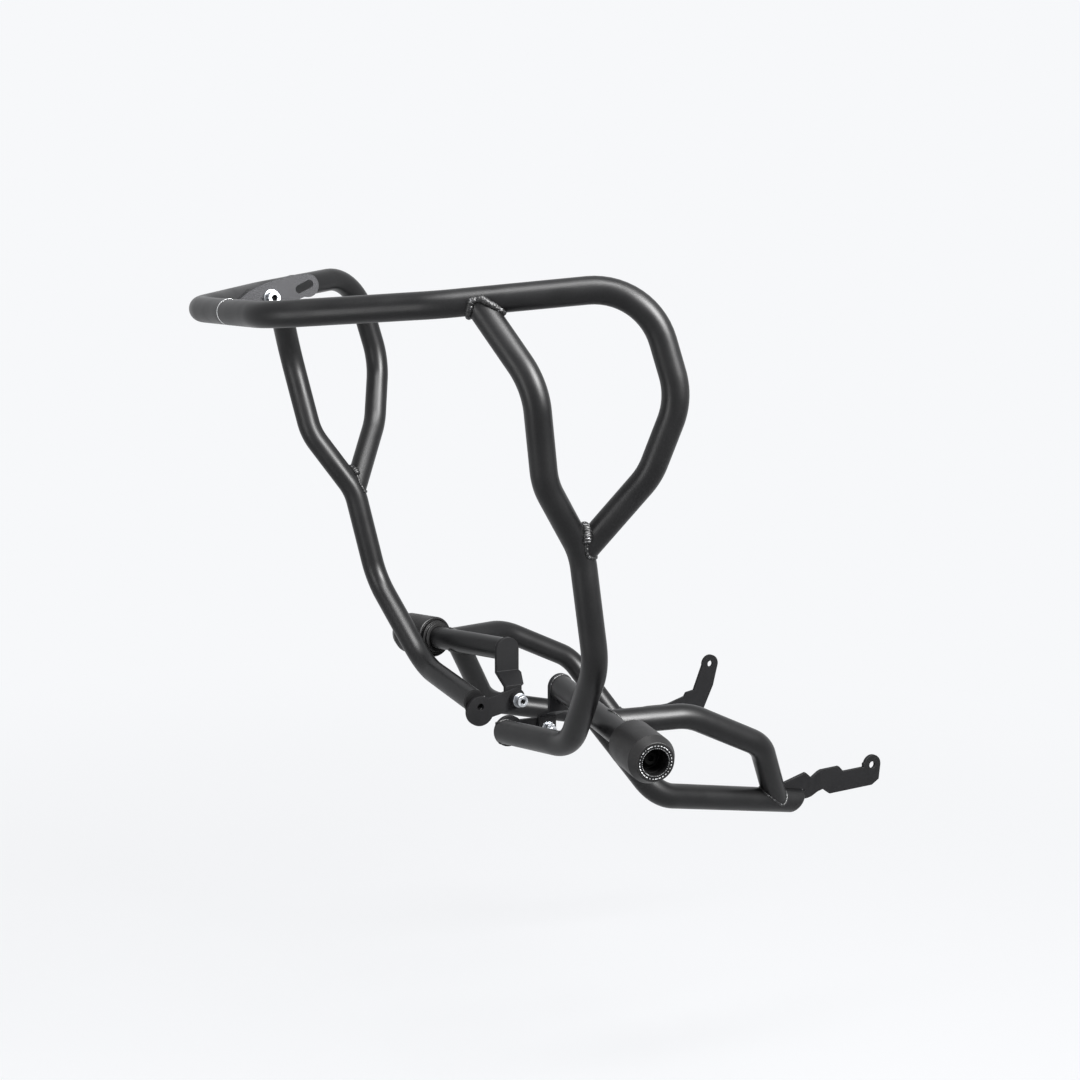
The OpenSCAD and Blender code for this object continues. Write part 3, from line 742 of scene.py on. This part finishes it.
@dataclass
class Welder:
    """Lays coated weld beads along the seams."""

    radius_mm: float = 1.9
    pitch_mm: float = 0.85
    voxel_mm: float = 0.55
    rays: int = 56
    ray_inset: float = 0.015
    valley_deg: int = 48
    valley_step_deg: int = 6
    valley_fill: float = 1.1
    tree: NodeTree = field(default_factory=weld_tree)
    laid: list[Object] = field(default_factory=list)

    def seam(self, points: list[Vector], closed: bool, size: float = 1.0, finish: Finish = WELD) -> None:
        """Lays one bead.

        Args:
            points: the seam's points in metres.
            closed: whether the seam runs all the way round.
            size: the bead's size against the usual one.
            finish: the bead's finish.
        """
        values = {
            "Radius": self.radius_mm * size * MM, "Pitch": self.pitch_mm * size * MM,
            "Voxel": self.voxel_mm * MM, "Seed": len(self.laid), "Material": finish.material()}
        self.laid.append(run_tree(polyline(points, closed), self.tree, values, "bead"))

    def around(self, tip: Vector, start: Vector, radius: float, host: Object, size: float = 1.0) -> None:
        """Lays a bead round a tube where it meets its host.

        Args:
            tip: where the tube's axis ends, at or in the host.
            start: a place back along the axis.
            radius: the tube's radius in metres.
            host: what it is welded to.
            size: the bead's size against the usual one.
        """
        mesh = host.data
        tree = BVHTree.FromPolygons([v.co for v in mesh.vertices], [p.vertices for p in mesh.polygons])
        way = (tip - start).normalized()
        across = way.orthogonal().normalized()
        points = []
        for i in range(self.rays):
            arm = Matrix.Rotation(2 * math.pi * i / self.rays, 3, way) @ across
            hit = tree.ray_cast(start + arm * radius * (1 - self.ray_inset), way)[0]
            if hit is not None:
                points.append(hit + arm * radius * self.ray_inset)
        self.seam(points, True, size)

    def valley(self, middle: Vector, one: Vector, other: Vector, radius: float, size: float) -> None:
        """Lays a bead in the valley between two tubes of the same size, in a light grey that is a painted
        glint.

        The valley lies in the plane that halves the angle between the tubes, on an ellipse.

        Args:
            middle: where the two axes meet.
            one: a place on one axis.
            other: a place on the other axis.
            radius: the tubes' radius in metres.
            size: the bead's size against the usual one.
        """
        first, second = (one - middle).normalized(), (other - middle).normalized()
        between, normal = (first + second).normalized(), first.cross(second).normalized()
        radius *= self.valley_fill
        far = radius / math.sin(first.angle(second) / 2)
        degrees = range(-self.valley_deg, self.valley_deg + 1, self.valley_step_deg)
        turns = [math.radians(a) for a in degrees]
        points = [middle + between * far * math.cos(a) + normal * radius * math.sin(a) for a in turns]
        self.seam(points, False, size, GLINT_WELD)

    def join(self, side: Side) -> Object:
        """Joins the beads laid so far into this side's piece and returns it."""
        work = bmesh.new()
        for bead in self.laid:
            # The valley beads take the second slot, the light grey painted glint.
            bare_and_glint = bead.data.materials[0] == GLINT_WELD.material()
            known = len(work.faces)
            work.from_mesh(bead.data)
            work.faces.ensure_lookup_table()
            for face in work.faces[known:]:
                face.material_index = int(bare_and_glint)
        mesh = plain_mesh(work, side.node("welds"))
        for finish in (WELD, GLINT_WELD):
            mesh.materials.append(finish.material())
        for bead in self.laid:
            bpy.data.objects.remove(bead)
        self.laid.clear()
        mesh.shade_smooth()
        return keep(mesh_object(side.node("welds"), mesh), WELD)


def flat_block(place: Vector, turn: Matrix, size_mm: float = 60.0) -> Object:
    """Makes a block that cuts a tube's end flat.

    Args:
        place: the middle of the block's +X face, in metres.
        turn: how the block is turned about that place.
        size_mm: its edge.

    Returns:
        The block, which is removed after use.
    """
    work = bmesh.new()
    bmesh.ops.create_cube(work, size=size_mm * MM)
    mesh = plain_mesh(work, "cutter")
    back = Matrix.Translation((-size_mm * MM / 2, 0, 0))
    mesh.transform(Matrix.Translation(place) @ turn.to_4x4() @ back)
    return mesh_object("cutter", mesh)


def disc(name: str, place: Matrix, radius_mm: float, thickness_mm: float, finish: Finish) -> Object:
    """Makes a round disc.

    Args:
        name: its name.
        place: where its middle and its axis go.
        radius_mm: its radius.
        thickness_mm: its thickness.
        finish: its finish.

    Returns:
        The piece.
    """
    work = bmesh.new()
    bmesh.ops.create_cone(work, cap_ends=True, segments=DISC_SIDES, radius1=radius_mm * MM,
                          radius2=radius_mm * MM, depth=thickness_mm * MM)
    mesh = plain_mesh(work, name)
    mesh.transform(place)
    mesh.materials.append(finish.material())
    shade(mesh)
    return keep(mesh_object(name, mesh), finish)


@dataclass
class UpperGuard:
    """One half of the upper guard: the main tube, the strut and the engine plate."""

    side: Side
    front: Corner = Corner(0, 0.8, 0)
    front_corner: Corner = Corner(0, 102, 0, 78)
    shoulder: Corner = Corner(122, 238, 12, 120)
    rear_corner: Corner = Corner(288, 343, 31, 68)
    widest: Corner = Corner(323, 348, -77, 75)
    tuck: Corner = Corner(306, 323, -152, 75)
    knee: Corner = Corner(188, 307, -63, 70)
    shin: Corner = Corner(207, 292, -159, 70)
    fork: Corner = Corner(257, 277, -231, 70)
    ankle: Corner = Corner(280, 272, -346, 70, 0.5)
    heel: Corner = Corner(302, 187, -446, 70, 1)
    foot: Corner = Corner(298, 49, -461, 0, 1)
    strut_set: float = 36.0
    short: float = 3.0
    plug_depth: float = 2.8
    plug_thickness: float = 3.0
    plug_press: float = 0.05
    foot_run: float = 148.0
    top_back: float = 45.0
    top_flare: float = 1.06
    top_bead: float = 2.1
    fork_back: float = 60.0
    fork_bead: float = 1.2
    valley_bead: float = 2.9
    foot_back: float = 30.0
    foot_bead: float = 0.8
    main: Object | None = None
    strut: Object | None = None

    def build(self, shop: TubeShop) -> None:
        """Bends both tubes and fits them to each other."""
        top = self.shoulder.towards(self.rear_corner, self.strut_set).towards(self.knee, self.short)
        past_foot = self.heel.towards(self.foot, self.foot_run)
        strut = [top, self.knee, self.shin, self.fork, self.ankle, self.heel, past_foot]
        main = [self.front, self.front_corner, self.shoulder, self.rear_corner, self.widest, self.tuck,
                self.fork.towards(self.tuck, self.short)]
        rail = shop.solid(main[:5], self.side)
        post = shop.solid(strut, self.side)
        block = flat_block(self.foot.at(self.side), square_to(self.side))
        self.main = shop.tube("main_tube", main, self.side, [post])
        self.strut = shop.tube("strut_tube", strut, self.side, [rail, block])
        for cutter in (rail, post, block):
            bpy.data.objects.remove(cutter)
        tip = self.foot.towards(self.heel, self.plug_depth).at(self.side)
        self.plug(tip, (self.foot.at(self.side) - self.heel.at(self.side)).normalized(), shop)

    def plug(self, tip: Vector, way: Vector, shop: TubeShop) -> None:
        """Closes the strut's inner end behind the engine plate with a flat plug.

        Args:
            tip: the middle of the plug, in metres.
            way: the tube's direction there.
            shop: what gives the tube's bore.
        """
        place = Matrix.Translation(tip) @ facing(way)
        radius = shop.radius - shop.wall + self.plug_press
        disc(self.side.node("strut_plug"), place, radius, self.plug_thickness, COAT)

    def weld(self, welder: Welder, radius: float) -> None:
        """Lays the beads at the strut's top, the Y joint and the engine plate.

        Args:
            welder: what lays them.
            radius: the tube's radius in metres.
        """
        top = self.shoulder.towards(self.rear_corner, self.strut_set)
        start = top.towards(self.knee, self.top_back).at(self.side)
        welder.around(top.at(self.side), start, radius * self.top_flare, self.main, self.top_bead)
        start = self.fork.towards(self.tuck, self.fork_back).at(self.side)
        welder.around(self.fork.at(self.side), start, radius, self.strut, self.fork_bead)
        welder.valley(*(c.at(self.side) for c in (self.fork, self.shin, self.tuck)), radius, self.valley_bead)
        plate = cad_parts[self.side.node("engine_plate")]
        start = self.foot.towards(self.heel, self.foot_back).at(self.side)
        welder.around(self.foot.at(self.side), start, radius, plate, self.foot_bead)


@dataclass
class LowerGuard:
    """One side's lower guard: the cross tube, the loops and the closed end behind them."""

    side: Side
    inner: Corner = Corner(355, 76, -411, 0, 1, 1)
    outwards: Corner = Corner(337, 176, -416.5, 0, 1, 1)
    loop_end: Corner = Corner(606, 178, -551, 0, 1, 1)
    slider_start: float = 205.0
    slider_length: float = 71.0
    right_less: float = 70.0
    upper_root: float = 140.0
    upper_root_less: float = 27.0
    lower_root: float = 97.0
    top_step: tuple[float, float, float] = (-98, 8, -2)
    toe_step: tuple[float, float, float] = (-59.2, 38.2, -91)
    heel_step: tuple[float, float, float] = (81, 40.5, 85)
    top_bend: float = 72.0
    loop_bend: float = 45.0
    meet_share: float = 0.16
    inner_run: float = 10.0
    recess: float = 26.0
    short: float = 3.0
    end_slant: float = -40.0
    nose_length: float = 9.0
    nose_edge: float = 4.5
    nose_steps: int = 6
    nose_stock: float = 90.0
    end_block: float = 120.0
    upper_back: float = 45.0
    lower_back: float = 50.0
    loop_bead: float = 0.9
    bracket_back: float = 30.0
    bracket_bead: float = 0.75
    cross: Object | None = None
    lower: Object | None = None

    def less(self, amount: float) -> float:
        """Returns the amount on the right side and nothing on the left one."""
        return amount if self.side is Side.RIGHT else 0.0

    def face(self) -> Corner:
        """Returns the centre of the slider's outer face."""
        along = self.slider_start + self.slider_length - self.less(self.right_less)
        return self.inner.towards(self.outwards, along)

    def routes(self) -> tuple[list[Corner], list[Corner], list[Corner]]:
        """Returns the corners of the cross tube, the upper loop and the lower loop."""
        high = self.inner.towards(self.outwards, self.upper_root - self.less(self.upper_root_less))
        low = self.inner.towards(self.outwards, self.lower_root)
        top = self.inner.towards(self.outwards, self.upper_root).off(*self.top_step, self.top_bend)
        toe = low.off(*self.toe_step, self.loop_bend)
        heel = self.loop_end.off(*self.heel_step, self.loop_bend)
        last = (toe.at(self.side) - self.loop_end.at(self.side)).length / MM
        start = self.inner.towards(self.outwards, -self.inner_run)
        cross = [start, self.face().towards(self.inner, self.recess)]
        meet = self.loop_end.towards(toe, self.meet_share * last)
        return cross, [high, top, heel, meet], [low, toe, self.loop_end]

    def nose(self, shop: TubeShop) -> None:
        """Makes the rounded piece that closes the lower loop's slanting rear end."""
        toe = self.routes()[2][1]
        end, way = self.loop_end.at(self.side), (self.loop_end.at(self.side) - toe.at(self.side)).normalized()
        cut = Matrix.Rotation(math.radians(self.end_slant), 3, "Y") @ Vector((-1, 0, 0))
        work = bmesh.new()
        bmesh.ops.create_cone(work, cap_ends=True, segments=shop.sides, radius1=shop.radius * MM,
                              radius2=shop.radius * MM, depth=self.nose_stock * MM)
        bmesh.ops.transform(work, matrix=Matrix.Translation(end) @ facing(way), verts=work.verts)
        for place, normal in ((end, cut), (end - cut * self.nose_length * MM, -cut)):
            geometry = work.verts[:] + work.edges[:] + work.faces[:]
            sliced = bmesh.ops.bisect_plane(work, geom=geometry, plane_co=place, plane_no=normal,
                                            clear_outer=True)
            rim = [e for e in sliced["geom_cut"] if isinstance(e, bmesh.types.BMEdge)]
            bmesh.ops.contextual_create(work, geom=rim)
        work.normal_update()
        outer = max(work.faces, key=lambda face: face.calc_center_median().dot(cut))
        bmesh.ops.bevel(work, geom=outer.edges[:], offset=self.nose_edge * MM, segments=self.nose_steps,
                        profile=0.5, affect="EDGES")
        mesh = plain_mesh(work, "nose")
        mesh.materials.append(COAT.material())
        shade(mesh)
        keep(mesh_object(self.side.node("loop_nose"), mesh), COAT, self.side.node("loop_cap"))

    def build(self, shop: TubeShop) -> None:
        """Makes the three tubes, fits them to each other and closes the lower loop."""
        cross, upper, lower = self.routes()
        flat = flat_block(self.inner.at(self.side), square_to(self.side))
        bar = shop.solid(cross, self.side)
        past = lower[2].towards(lower[1], -2 * shop.radius)
        rail = shop.solid([*lower[:2], past], self.side)
        slant = Matrix.Rotation(math.radians(self.end_slant), 3, "Y")
        inset = slant @ Vector((self.nose_length * MM, 0, 0))
        end = flat_block(self.loop_end.at(self.side) + inset, slant, self.end_block)
        upper[0] = upper[0].towards(upper[1], self.short)
        upper[3] = upper[3].towards(upper[2], self.short)
        lower[0] = lower[0].towards(lower[1], self.short)
        self.cross = shop.tube("cross_tube", cross, self.side, [flat])
        shop.tube("upper_loop", upper, self.side, [bar, rail])
        self.lower = shop.tube("lower_loop", [*lower[:2], past], self.side, [bar, end])
        self.nose(shop)
        for cutter in (flat, bar, rail, end):
            bpy.data.objects.remove(cutter)

    def weld(self, welder: Welder, radius: float) -> None:
        """Lays the beads at the loops' roots, at their rear joint and at the guard bracket.

        Args:
            welder: what lays them.
            radius: the tube's radius in metres.
        """
        upper, lower = self.routes()[1:]

        def seam(tip: Corner, away: Corner, back: float, host: Object, size: float) -> None:
            """Lays a bead round the tube that ends at tip and comes from away."""
            welder.around(tip.at(self.side), tip.towards(away, back).at(self.side), radius, host, size)

        seam(upper[0], upper[1], self.upper_back, self.cross, self.loop_bead)
        seam(lower[0], lower[1], self.lower_back, self.cross, self.loop_bead)
        seam(upper[3], upper[2], self.lower_back, self.lower, self.loop_bead)
        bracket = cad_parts[self.side.node("guard_bracket")]
        seam(self.inner, self.outwards, self.bracket_back, bracket, self.bracket_bead)


@dataclass(frozen=True)
class Knurl:
    """A knurl's radius in mm, how many teeth it has and what each is like.

    tooth is a tooth's length round the ring, its depth and its height in mm. least is the shortest
    tooth's share of that length, and seed is for the random lengths.
    """

    radius: float
    count: int
    tooth: tuple[float, float, float]
    least: float
    seed: int


@dataclass
class RingOfTeeth:
    """Teeth set round an axis: a slider ring's bright knurl or a screw head's grip."""

    tree: NodeTree = field(default_factory=tooth_tree)

    def cut(self, name: str, place: Matrix, knurl: Knurl, finish: Finish) -> Object:
        """Makes one ring of teeth.

        Args:
            name: the piece's name.
            place: where the ring's centre and axis go.
            knurl: the ring's size and teeth.
            finish: the teeth's finish.

        Returns:
            The piece.
        """
        values = {
            "Ring Radius": knurl.radius * MM, "Count": knurl.count, "Tooth": [t * MM for t in knurl.tooth],
            "Seed": knurl.seed, "Least": knurl.least, "Material": finish.material()}
        made = run_tree(empty_source(), self.tree, values, name)
        made.data.transform(place)
        shade(made.data, ROUNDED_DEG)
        return keep(made, finish)


@dataclass
class SliderSet:
    """One side's slider with the ring in its face and the screw down its bore."""

    side: Side
    guard: LowerGuard
    edge_mm: float = 0.5
    crisp_deg: float = 15.0
    ring_edge_mm: float = 0.4
    ring_proud_mm: float = 0.55
    outer_knurl: Knurl = Knurl(16.9, 30, (2.9, 1.0, 0.6), 0.2, 3)
    inner_knurl: Knurl = Knurl(14.3, 44, (1.8, 0.4, 0.4), 0.2, 8)

    def build(self, teeth: RingOfTeeth) -> None:
        """Makes the slider, its ring and the ring's bright teeth."""
        face, inner = self.guard.face().at(self.side), self.guard.inner.at(self.side)
        axis = (face - inner).normalized()
        nylon = TurnedNylon(f"turned_nylon_{self.side.name.lower()}", "#101010", "#191819", 0.46,
                            Slot.SLIDER, 0.2, axis=tuple(axis))
        refined(self.side.node("slider"), nylon, self.edge_mm, crisp_deg=self.crisp_deg)
        refined(self.side.node("slider_ring"), RING_STEEL, self.ring_edge_mm)
        # The screw deep in the bore takes the near-black finish: painted shade for the bore's dark inside.
        refined(self.side.node("slider_screw"), SHADE_BLACK_COAT, SMALL_EDGE_MM)
        place = Matrix.Translation(face + axis * self.ring_proud_mm * MM) @ facing(axis)
        teeth.cut(self.side.node("ring_outer_knurl"), place, self.outer_knurl, TOOTH_STEEL)
        teeth.cut(self.side.node("ring_inner_knurl"), place, self.inner_knurl, TOOTH_STEEL)


@dataclass
class ScrewSet:
    """A socket screw along Y with what it clamps: washers, a nut and sometimes a boss."""

    screw: str
    others: dict[str, Finish]
    head_sign: int
    head_radius: float = 6.5
    head_height: float = 8.0
    thread_radius: float = 3.85
    pitch: float = 1.25
    thread_shown: float = 2.6
    socket_depth: float = 4.0
    socket_radius: float = 2.9
    floor_lift: float = 0.1
    floor_thickness: float = 0.3
    head_edge: float = 0.45
    head_steps: int = 4
    knurl_sunk: float = 0.1
    knurl_count: int = 42
    knurl_tooth: tuple[float, float] = (0.55, 0.5)
    knurl_share: float = 0.7
    thread_inset: float = 0.3
    thread: NodeTree | None = None

    def build(self, teeth: RingOfTeeth) -> None:
        """Makes the screw with its knurled head and thread, and the pieces that it clamps."""
        refined(self.screw, ZINC, self.head_edge, self.head_steps)
        for node, finish in self.others.items():
            refined(node, finish, SMALL_EDGE_MM)
        low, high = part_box(self.screw)
        x, z = (low.x + high.x) / 2, (low.z + high.z) / 2
        head_end, tail_end = (high.y, low.y) if self.head_sign > 0 else (low.y, high.y)
        middle = head_end - self.head_sign * self.head_height * MM / 2
        flat = Matrix.Rotation(math.pi / 2, 4, "X")
        place = Matrix.Translation((x, middle, z)) @ flat
        tooth = (*self.knurl_tooth, self.head_height * self.knurl_share)
        knurl = Knurl(self.head_radius - self.knurl_sunk, self.knurl_count, tooth, 1, 1)
        teeth.cut(self.screw + "_knurl", place, knurl, KNURLED_ZINC)
        # A near-black disc at the bottom of the hex socket is painted shade for the recess.
        sunk = self.head_sign * (self.socket_depth - self.floor_lift) * MM
        floor = Matrix.Translation((x, head_end - sunk, z)) @ flat
        disc(self.screw + "_socket_floor", floor, self.socket_radius, self.floor_thickness, SHADE_BLACK_COAT)
        values = {"Radius": self.thread_radius * MM, "Pitch": self.pitch * MM,
                  "Turns": self.thread_shown / self.pitch, "Material": ZINC.material()}
        wound = run_tree(empty_source(), self.thread, values, self.screw + "_thread")
        start = Matrix.Translation((x, tail_end + self.head_sign * self.thread_inset * MM, z))
        wound.data.transform(start @ Matrix.Rotation(-self.head_sign * math.pi / 2, 4, "X"))
        keep(wound, ZINC)


@dataclass
class FrontJoint:
    """The joint of the two halves: the slotted bracket, the tab behind it and the spigot's bright collar."""

    collar_radius: float = 13.6
    collar_width: float = 1.4

    def build(self) -> None:
        """Makes the joint's pieces."""
        # The bracket's mid grey is painted light from above.
        refined("front_bracket", LIT_GREY_COAT, PLATE_EDGE_MM)
        refined("front_tab", PLATE_COAT, PLATE_EDGE_MM)
        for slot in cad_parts["joint_spigot"].material_slots:
            slot.material = TOOTH_STEEL.material()
        place = Matrix.Translation(Corner.JOINT * MM) @ Matrix.Rotation(math.pi / 2, 4, "X")
        disc("joint_collar", place, self.collar_radius, self.collar_width, TOOTH_STEEL)


@dataclass
class Lamp:
    """A soft area lamp, placed from the camera's point of view, with a panel that only reflections show."""

    name: str
    right: float
    up: float
    near: float
    width: float
    height: float
    watts: float
    panel_watts: float = 0.0


@dataclass
class Studio:
    """The floor, the lamps, the pale surround and the camera, in metres where a name doesn't say mm."""

    place_mm: tuple[float, float, float] = (769.7, 1889.7, 43.3)
    pitch_deg: float = 81.275
    heading_deg: float = 150.9
    lens_mm: float = 64.17
    sensor_mm: float = 36.0
    clip: tuple[float, float] = (0.05, 200)
    surround: str = "#f7f8fa"
    ambient: float = 0.22
    floor_drop: float = 0.30
    floor_size: float = 60.0
    floor_shadow: float = 0.15
    shadow_reach: tuple[float, float] = (0.6, 2.4)

    def camera(self) -> Object:
        """Adds the camera at the photograph's viewing angle and returns it."""
        data = bpy.data.cameras.new("camera")
        data.lens, data.sensor_width = self.lens_mm, self.sensor_mm
        data.clip_start, data.clip_end = self.clip
        camera = bpy.data.objects.new("camera", data)
        camera.location = Vector(self.place_mm) * MM
        camera.rotation_euler = (math.radians(self.pitch_deg), 0, math.radians(self.heading_deg))
        bpy.context.scene.collection.objects.link(camera)
        bpy.context.scene.camera = camera
        return camera

    def seen(self, tree: NodeTree) -> Any:
        """Adds what is 1 for camera, glossy and transmission rays, and returns its socket."""
        path = add_node(tree, "ShaderNodeLightPath").outputs
        some = add_node(tree, "ShaderNodeMath", {0: path["Is Camera Ray"], 1: path["Is Glossy Ray"]},
                        operation="MAXIMUM")
        inputs = {0: some.outputs[0], 1: path["Is Transmission Ray"]}
        return add_node(tree, "ShaderNodeMath", inputs, operation="MAXIMUM").outputs[0]

    def world(self) -> None:
        """Makes the pale surround, which lights the object only a little."""
        world = bpy.data.worlds.new("surround")
        tree = empty_tree(world)
        strength = add_node(tree, "ShaderNodeMapRange", {
            "Value": self.seen(tree), "To Min": self.ambient, "To Max": 1.0})
        shine = add_node(tree, "ShaderNodeBackground", {
            "Color": linear(self.surround), "Strength": strength.outputs[0]})
        add_node(tree, "ShaderNodeOutputWorld", {"Surface": shine.outputs[0]})
        bpy.context.scene.world = world

    def floor(self) -> None:
        """Makes the pale floor, which keeps the object's shadow and fades into the surround."""
        work = bmesh.new()
        bmesh.ops.create_grid(work, x_segments=1, y_segments=1, size=self.floor_size / 2)
        mesh = plain_mesh(work, "floor")
        mesh.transform(Matrix.Translation((0, 0, CAD_LOW.z - self.floor_drop)))
        material = bpy.data.materials.new("pale_floor")
        tree = empty_tree(material)
        lit = add_node(tree, "ShaderNodeBsdfDiffuse", {"Color": linear(self.surround)})
        glow = add_node(tree, "ShaderNodeEmission", {"Color": linear(self.surround), "Strength": 1.0})
        place = add_node(tree, "ShaderNodeTexCoord").outputs["Object"]
        away = add_node(tree, "ShaderNodeVectorMath", {0: place}, operation="LENGTH")
        near, far = self.shadow_reach
        plain = add_node(tree, "ShaderNodeMapRange", {
            "Value": away.outputs["Value"], "From Min": near, "From Max": far,
            "To Min": 1 - self.floor_shadow, "To Max": 1.0}, interpolation_type="SMOOTHSTEP")
        share = add_node(tree, "ShaderNodeMath", {0: self.seen(tree), 1: plain.outputs[0]},
                         operation="MULTIPLY")
        mixed = add_node(tree, "ShaderNodeMixShader", {
            0: share.outputs[0], 1: lit.outputs[0], 2: glow.outputs[0]})
        add_node(tree, "ShaderNodeOutputMaterial", {"Surface": mixed.outputs[0]})
        mesh.materials.append(material)
        mesh_object("floor", mesh)

    def light(self, camera: Object, lamps: list[Lamp]) -> None:
        """Places the lamps round the object, seen from the camera."""
        middle = (CAD_LOW + CAD_HIGH) / 2
        bpy.context.view_layer.update()
        turn = camera.matrix_world.to_3x3()
        for lamp in lamps:
            for name, watts in ((lamp.name, lamp.watts), (lamp.name + "_panel", lamp.panel_watts)):
                data = bpy.data.lights.new(name, "AREA")
                data.shape, data.size, data.size_y, data.energy = "RECTANGLE", lamp.width, lamp.height, watts
                obj = bpy.data.objects.new(name, data)
                obj.visible_diffuse = not name.endswith("_panel")
                obj.location = middle + turn @ Vector((lamp.right, lamp.up, lamp.near))
                obj.rotation_euler = (obj.location - middle).to_track_quat("Z", "Y").to_euler()
                bpy.context.scene.collection.objects.link(obj)

    def build(self) -> None:
        """Sets the whole studio up."""
        camera = self.camera()
        self.world()
        self.floor()
        self.light(camera, [
            Lamp("top_softbox", right=0.2, up=1.45, near=1.1, width=1.4, height=0.4, watts=34,
                 panel_watts=110),
            Lamp("right_softbox", right=1.25, up=0.75, near=1.25, width=0.6, height=1.0, watts=30,
                 panel_watts=200),
            Lamp("left_softbox", right=-1.4, up=-0.4, near=1.3, width=0.6, height=1.4, watts=18,
                 panel_watts=20),
        ])
        bpy.context.scene.view_settings.view_transform = "Standard"


def main() -> None:
    """Builds every sub-assembly in order."""
    logging.basicConfig(level=logging.INFO, format="%(name)s: %(message)s")
    Studio().build()
    shop, welder, teeth, thread = TubeShop(), Welder(), RingOfTeeth(), thread_tree()
    for side in Side:
        upper, lower = UpperGuard(side), LowerGuard(side)
        upper.build(shop)
        lower.build(shop)
        upper.weld(welder, shop.radius * MM)
        lower.weld(welder, shop.radius * MM)
        welder.join(side)
        for part in ("engine_plate", "guard_bracket", "rear_bracket"):
            refined(side.node(part), PLATE_COAT, PLATE_EDGE_MM)
        SliderSet(side, lower).build(teeth)
        clamped = {side.node("guard_washers"): ZINC, side.node("guard_nut"): ZINC,
                   side.node("guard_boss"): BOSS_COAT}
        ScrewSet(side.node("guard_screw"), clamped, -side.value, thread=thread).build(teeth)
        # The tube plug takes the same near-black finish as the painted shade.
        refined(side.node("tube_plug"), SHADE_BLACK_COAT, 0.2)
    FrontJoint().build()
    ScrewSet("front_screw", {"front_washers": ZINC, "front_nut": ZINC}, 1, thread=thread).build(teeth)
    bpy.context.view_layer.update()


if __name__ == "__main__":
    main()
